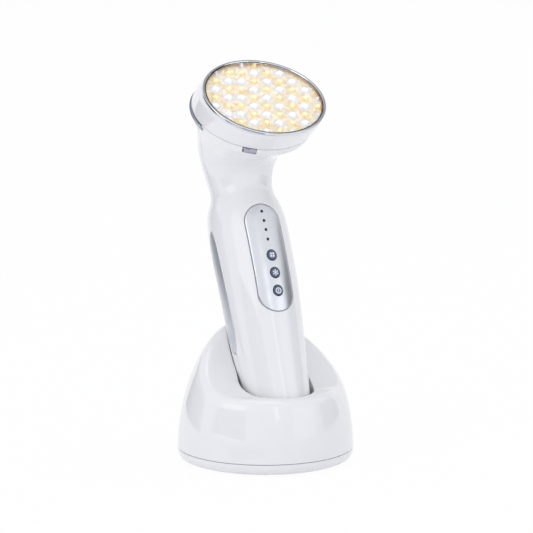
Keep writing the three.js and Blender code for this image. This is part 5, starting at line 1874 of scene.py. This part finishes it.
    def socket(self) -> None:
        """Makes the power socket: a block bored in steps, and its pin."""
        half_x, half_z, corner, depth = 4.5, 5.5, 0.8, 14.0
        turn = np.linspace(0.0, QUARTER, 5)
        outline = []
        for quarter, (sign_x, sign_z) in enumerate(((1, 1), (-1, 1), (-1, -1), (1, -1))):
            angle = turn + quarter * QUARTER
            outline.append(np.stack([
                sign_x * (half_x - corner) + corner * np.cos(angle),
                self.jack_z + sign_z * (half_z - corner) + corner * np.sin(angle),
            ], axis=1))
        body = prism(np.concatenate(outline), self.jack_y - depth, self.jack_y, axis=1)
        bore = np.array([[0.0, -2.0], [3.6, -2.0], [3.6, 0.0], [3.2, 0.4], [3.2, 3.0], [3.0, 3.1],
                         [3.0, 9.0], [0.0, 9.0]])
        nose = rounded([(0.0, 9.0, 0.0), (1.05, 9.0, 0.0), (1.05, 1.0, 0.9), (0.0, 1.0, 0.0)])
        block, tool, pin = [
            solid(name, [patch]) for name, patch in (
                ("power_socket", body),
                ("tool", along_y(turned(bore, 56), 0.0, self.jack_y, self.jack_z)),
                ("socket_pin", along_y(turned(nose, 32), 0.0, self.jack_y, self.jack_z)),
            )]
        carve(block, [tool])
        finish_piece(block, "cradle", "black_plastic", BLACK_PLASTIC, "dc_jack")
        finish_piece(pin, "cradle", "steel", STEEL, "jack_pin")

    def build(self) -> None:
        """Makes shell, base, pad, screws and socket."""
        self.shell()
        self.base()
        for number, (x, y) in enumerate(self.screw_places(), start=1):
            hang = partial(self.hung, x, y)
            Screw(0.9, 10.6).build(f"cradle_screw_{number}", hang, "cradle", f"base_screw_{number}")
        self.socket()

    def hung(self, x: float, y: float, points: ndarray) -> ndarray:
        """Turns a screw head down, half a turn about x, and moves it under the base."""
        return points * [1.0, -1.0, -1.0] + [x, y, self.screw_z]


# What the shells hide

HIDDEN_PARTS = (
    (STEEL, ["ballast_weight"]),
    (CIRCUIT_BOARD, ["cradle_board", "main_board"]),
    (BLACK_PLASTIC, ["contact_block", "mode_switch", "level_switch", "power_switch", "battery_tray",
                     "head_lead"]),
    (BRASS, ["pin_barrel_left", "pin_barrel_right"]),
    (BATTERY_WRAP, ["battery"]),
)


def dress_hidden_parts() -> None:
    """Gives the construction's own inner pieces their finishes."""
    for finish, names in HIDDEN_PARTS:
        for name in names:
            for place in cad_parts[name].material_slots:
                place.material = finish.material()
            log.info("%s: dressed in %s", name, finish.name)


# The studio


@dataclass(frozen=True)
class SoftLamp:
    """A rectangular soft lamp that looks at the object."""

    name: str  # its name
    place: tuple[float, float, float]  # where it stands, in metres
    size: tuple[float, float]  # its width and height, in metres
    watts: float  # its power


@dataclass(frozen=True)
class Card:
    """A plain card that only bright metal and gloss can see."""

    name: str  # its name
    place: tuple[float, float, float]  # its middle, in metres
    size: tuple[float, float]  # its width and height, in metres
    grey: str  # sRGB hex of its face
    facing: tuple[float, float, float] = (-0.05, 0.02, 0.17)  # point that it looks at, in metres


def sheet(name: str, width: float, depth: float, finish: Material) -> Object:
    """Makes a level sheet about the origin and stages it.

    Args:
        name: its name.
        width: its width, in metres.
        depth: its depth, in metres.
        finish: its material.

    Returns:
        The sheet.
    """
    x, y = width / 2.0 / MM, depth / 2.0 / MM
    corners = np.array([[[-x, -y, 0.0], [x, -y, 0.0]], [[-x, y, 0.0], [x, y, 0.0]]])
    item = solid(name, [Patch(corners, wrap=False)])
    item.data.materials.append(finish)
    return item


@dataclass(frozen=True)
class Studio:
    """Camera, pale floor, even room light, soft lamps and the chrome's dark cards."""

    # Point that the camera looks at, in metres.
    target: tuple[float, float, float] = (0.0, -0.0013, 0.1019)
    azimuth_deg: float = -24.0  # camera's turn from the front, towards the right
    elevation_deg: float = 11.5  # camera's height above the level
    distance: float = 3.0  # how far the camera stands, in metres
    width_at_target: float = 0.2754  # width of the view at the target, in metres
    room: float = 0.76  # strength of the even light
    floor_size: float = 8.0  # width of the floor, in metres
    floor_white: float = 0.96  # share of plain white in what the camera sees of the floor
    # The soft lamps.
    lamps: tuple[SoftLamp, ...] = (
        SoftLamp("key", (-1.43, -0.44, 0.6), (0.9, 1.4), 4.4),
        SoftLamp("strip", (-0.2, -1.45, 0.75), (0.14, 0.9), 0.6),
        SoftLamp("fill", (0.82, -1.37, 0.28), (0.95, 1.2), 2.2),
        SoftLamp("top", (0.15, 0.1, 1.6), (1.0, 1.0), 5.4),
    )
    # The cards.
    cards: tuple[Card, ...] = (
        Card("dark_card_back", (-0.24, 0.27, 0.1), (0.3, 0.2), "0E0F13"),
        Card("grey_card_left", (-0.33, -0.1, 0.1), (0.28, 0.16), "6A6C76"),
        Card("grey_card_floor", (-0.16, -0.15, 0.002), (0.2, 0.2), "B6B8C2", (-0.16, -0.15, 1.0)),
        Card("grey_card_high", (0.24, 0.22, 0.66), (0.8, 0.8), "B4B6BE"),
        Card("slate_card_right", (1.2, -0.3, 0.25), (0.8, 0.7), "484A54", (0.0, -0.0013, 0.1019)),
    )

    def aim(self, item: Object, target: Sequence[float]) -> None:
        """Turns a camera, lamp or card to look at a point."""
        away = item.location - type(item.location)(target)
        item.rotation_euler = away.to_track_quat("Z", "Y").to_euler()

    def camera(self) -> None:
        """Sets up the camera at the photograph's angle."""
        data = bpy.data.cameras.new("camera")
        data.lens = data.sensor_width * self.distance / self.width_at_target
        item = bpy.data.objects.new("camera", data)
        bpy.context.scene.collection.objects.link(item)
        turn, lift = math.radians(self.azimuth_deg), math.radians(self.elevation_deg)
        item.location = (
            self.target[0] + self.distance * math.cos(lift) * math.sin(turn),
            self.target[1] - self.distance * math.cos(lift) * math.cos(turn),
            self.target[2] + self.distance * math.sin(lift),
        )
        self.aim(item, self.target)
        bpy.context.scene.camera = item

    def seen_white(self, lit: Node, kind: str, share: float) -> NodeSocket:
        """Mixes a shader with plain white for what the camera, metal and glass see.

        Args:
            lit: the shader that the light meets.
            kind: Blender's name of the node type that gives the white.
            share: share of white.

        Returns:
            The mixed shader.
        """
        tree = lit.id_data
        path = add_node(tree, "ShaderNodeLightPath").outputs
        weight = path["Is Camera Ray"]
        for operation, other in (
            ("MAXIMUM", path["Is Glossy Ray"]),
            ("MAXIMUM", path["Is Transmission Ray"]),
            ("MULTIPLY", share),
        ):
            step = add_node(tree, "ShaderNodeMath", {0: weight, 1: other}, operation=operation)
            weight = step.outputs[0]
        white = add_node(tree, kind, {"Color": linear("FFFFFF"), "Strength": 1.0})
        inputs = {0: weight, 1: lit.outputs[0], 2: white.outputs[0]}
        return add_node(tree, "ShaderNodeMixShader", inputs).outputs[0]

    def backdrop(self) -> None:
        """Lights the room evenly and lays the pale floor, which keeps some of the shadow."""
        world = bpy.data.worlds.new("room")
        tree = bare_tree(world)
        soft = add_node(tree, "ShaderNodeBackground", {"Color": linear("F4F5FA"), "Strength": self.room})
        seen = self.seen_white(soft, "ShaderNodeBackground", 1.0)
        add_node(tree, "ShaderNodeOutputWorld", {"Surface": seen})
        bpy.context.scene.world = world
        finish = bpy.data.materials.new("pale_floor")
        tree = bare_tree(finish)
        matt = add_node(tree, "ShaderNodeBsdfDiffuse", {"Color": linear("F4F4F6")})
        seen = self.seen_white(matt, "ShaderNodeEmission", self.floor_white)
        add_node(tree, "ShaderNodeOutputMaterial", {"Surface": seen})
        sheet("floor", self.floor_size, self.floor_size, finish)

    def build(self) -> None:
        """Sets up camera, floor, lamps and cards."""
        self.camera()
        self.backdrop()
        for lamp in self.lamps:
            data = bpy.data.lights.new(lamp.name, "AREA")
            data.shape = "RECTANGLE"
            data.size, data.size_y = lamp.size
            data.energy = lamp.watts
            item = bpy.data.objects.new(lamp.name, data)
            bpy.context.scene.collection.objects.link(item)
            item.location = lamp.place
            self.aim(item, self.target)
        for card in self.cards:
            finish = bpy.data.materials.new(card.name)
            tree = bare_tree(finish)
            face = add_node(tree, "ShaderNodeEmission", {"Color": linear(card.grey), "Strength": 1.0})
            add_node(tree, "ShaderNodeOutputMaterial", {"Surface": face.outputs[0]})
            item = sheet(card.name, *card.size, finish)
            item.location = card.place
            self.aim(item, card.facing)
            for ray in ("camera", "diffuse", "shadow", "transmission"):
                setattr(item, f"visible_{ray}", False)
        bpy.context.scene.view_settings.view_transform = "Standard"
        log.info("studio: %d lamps, %d cards", len(self.lamps), len(self.cards))


def main() -> None:
    """Builds the wand and its cradle, and dresses them for the photograph's view."""
    logging.basicConfig(level=logging.INFO, format="%(name)s: %(message)s")
    form = BodyForm()
    Studio().build()
    fascia = Fascia(form)
    trim = Trim(form)
    Housing(form).build(trim, fascia)
    trim.build()
    fascia.build()
    LightHead(form).build()
    Foot(form).build()
    Cradle(form).build()
    dress_hidden_parts()


if __name__ == "__main__":
    main()
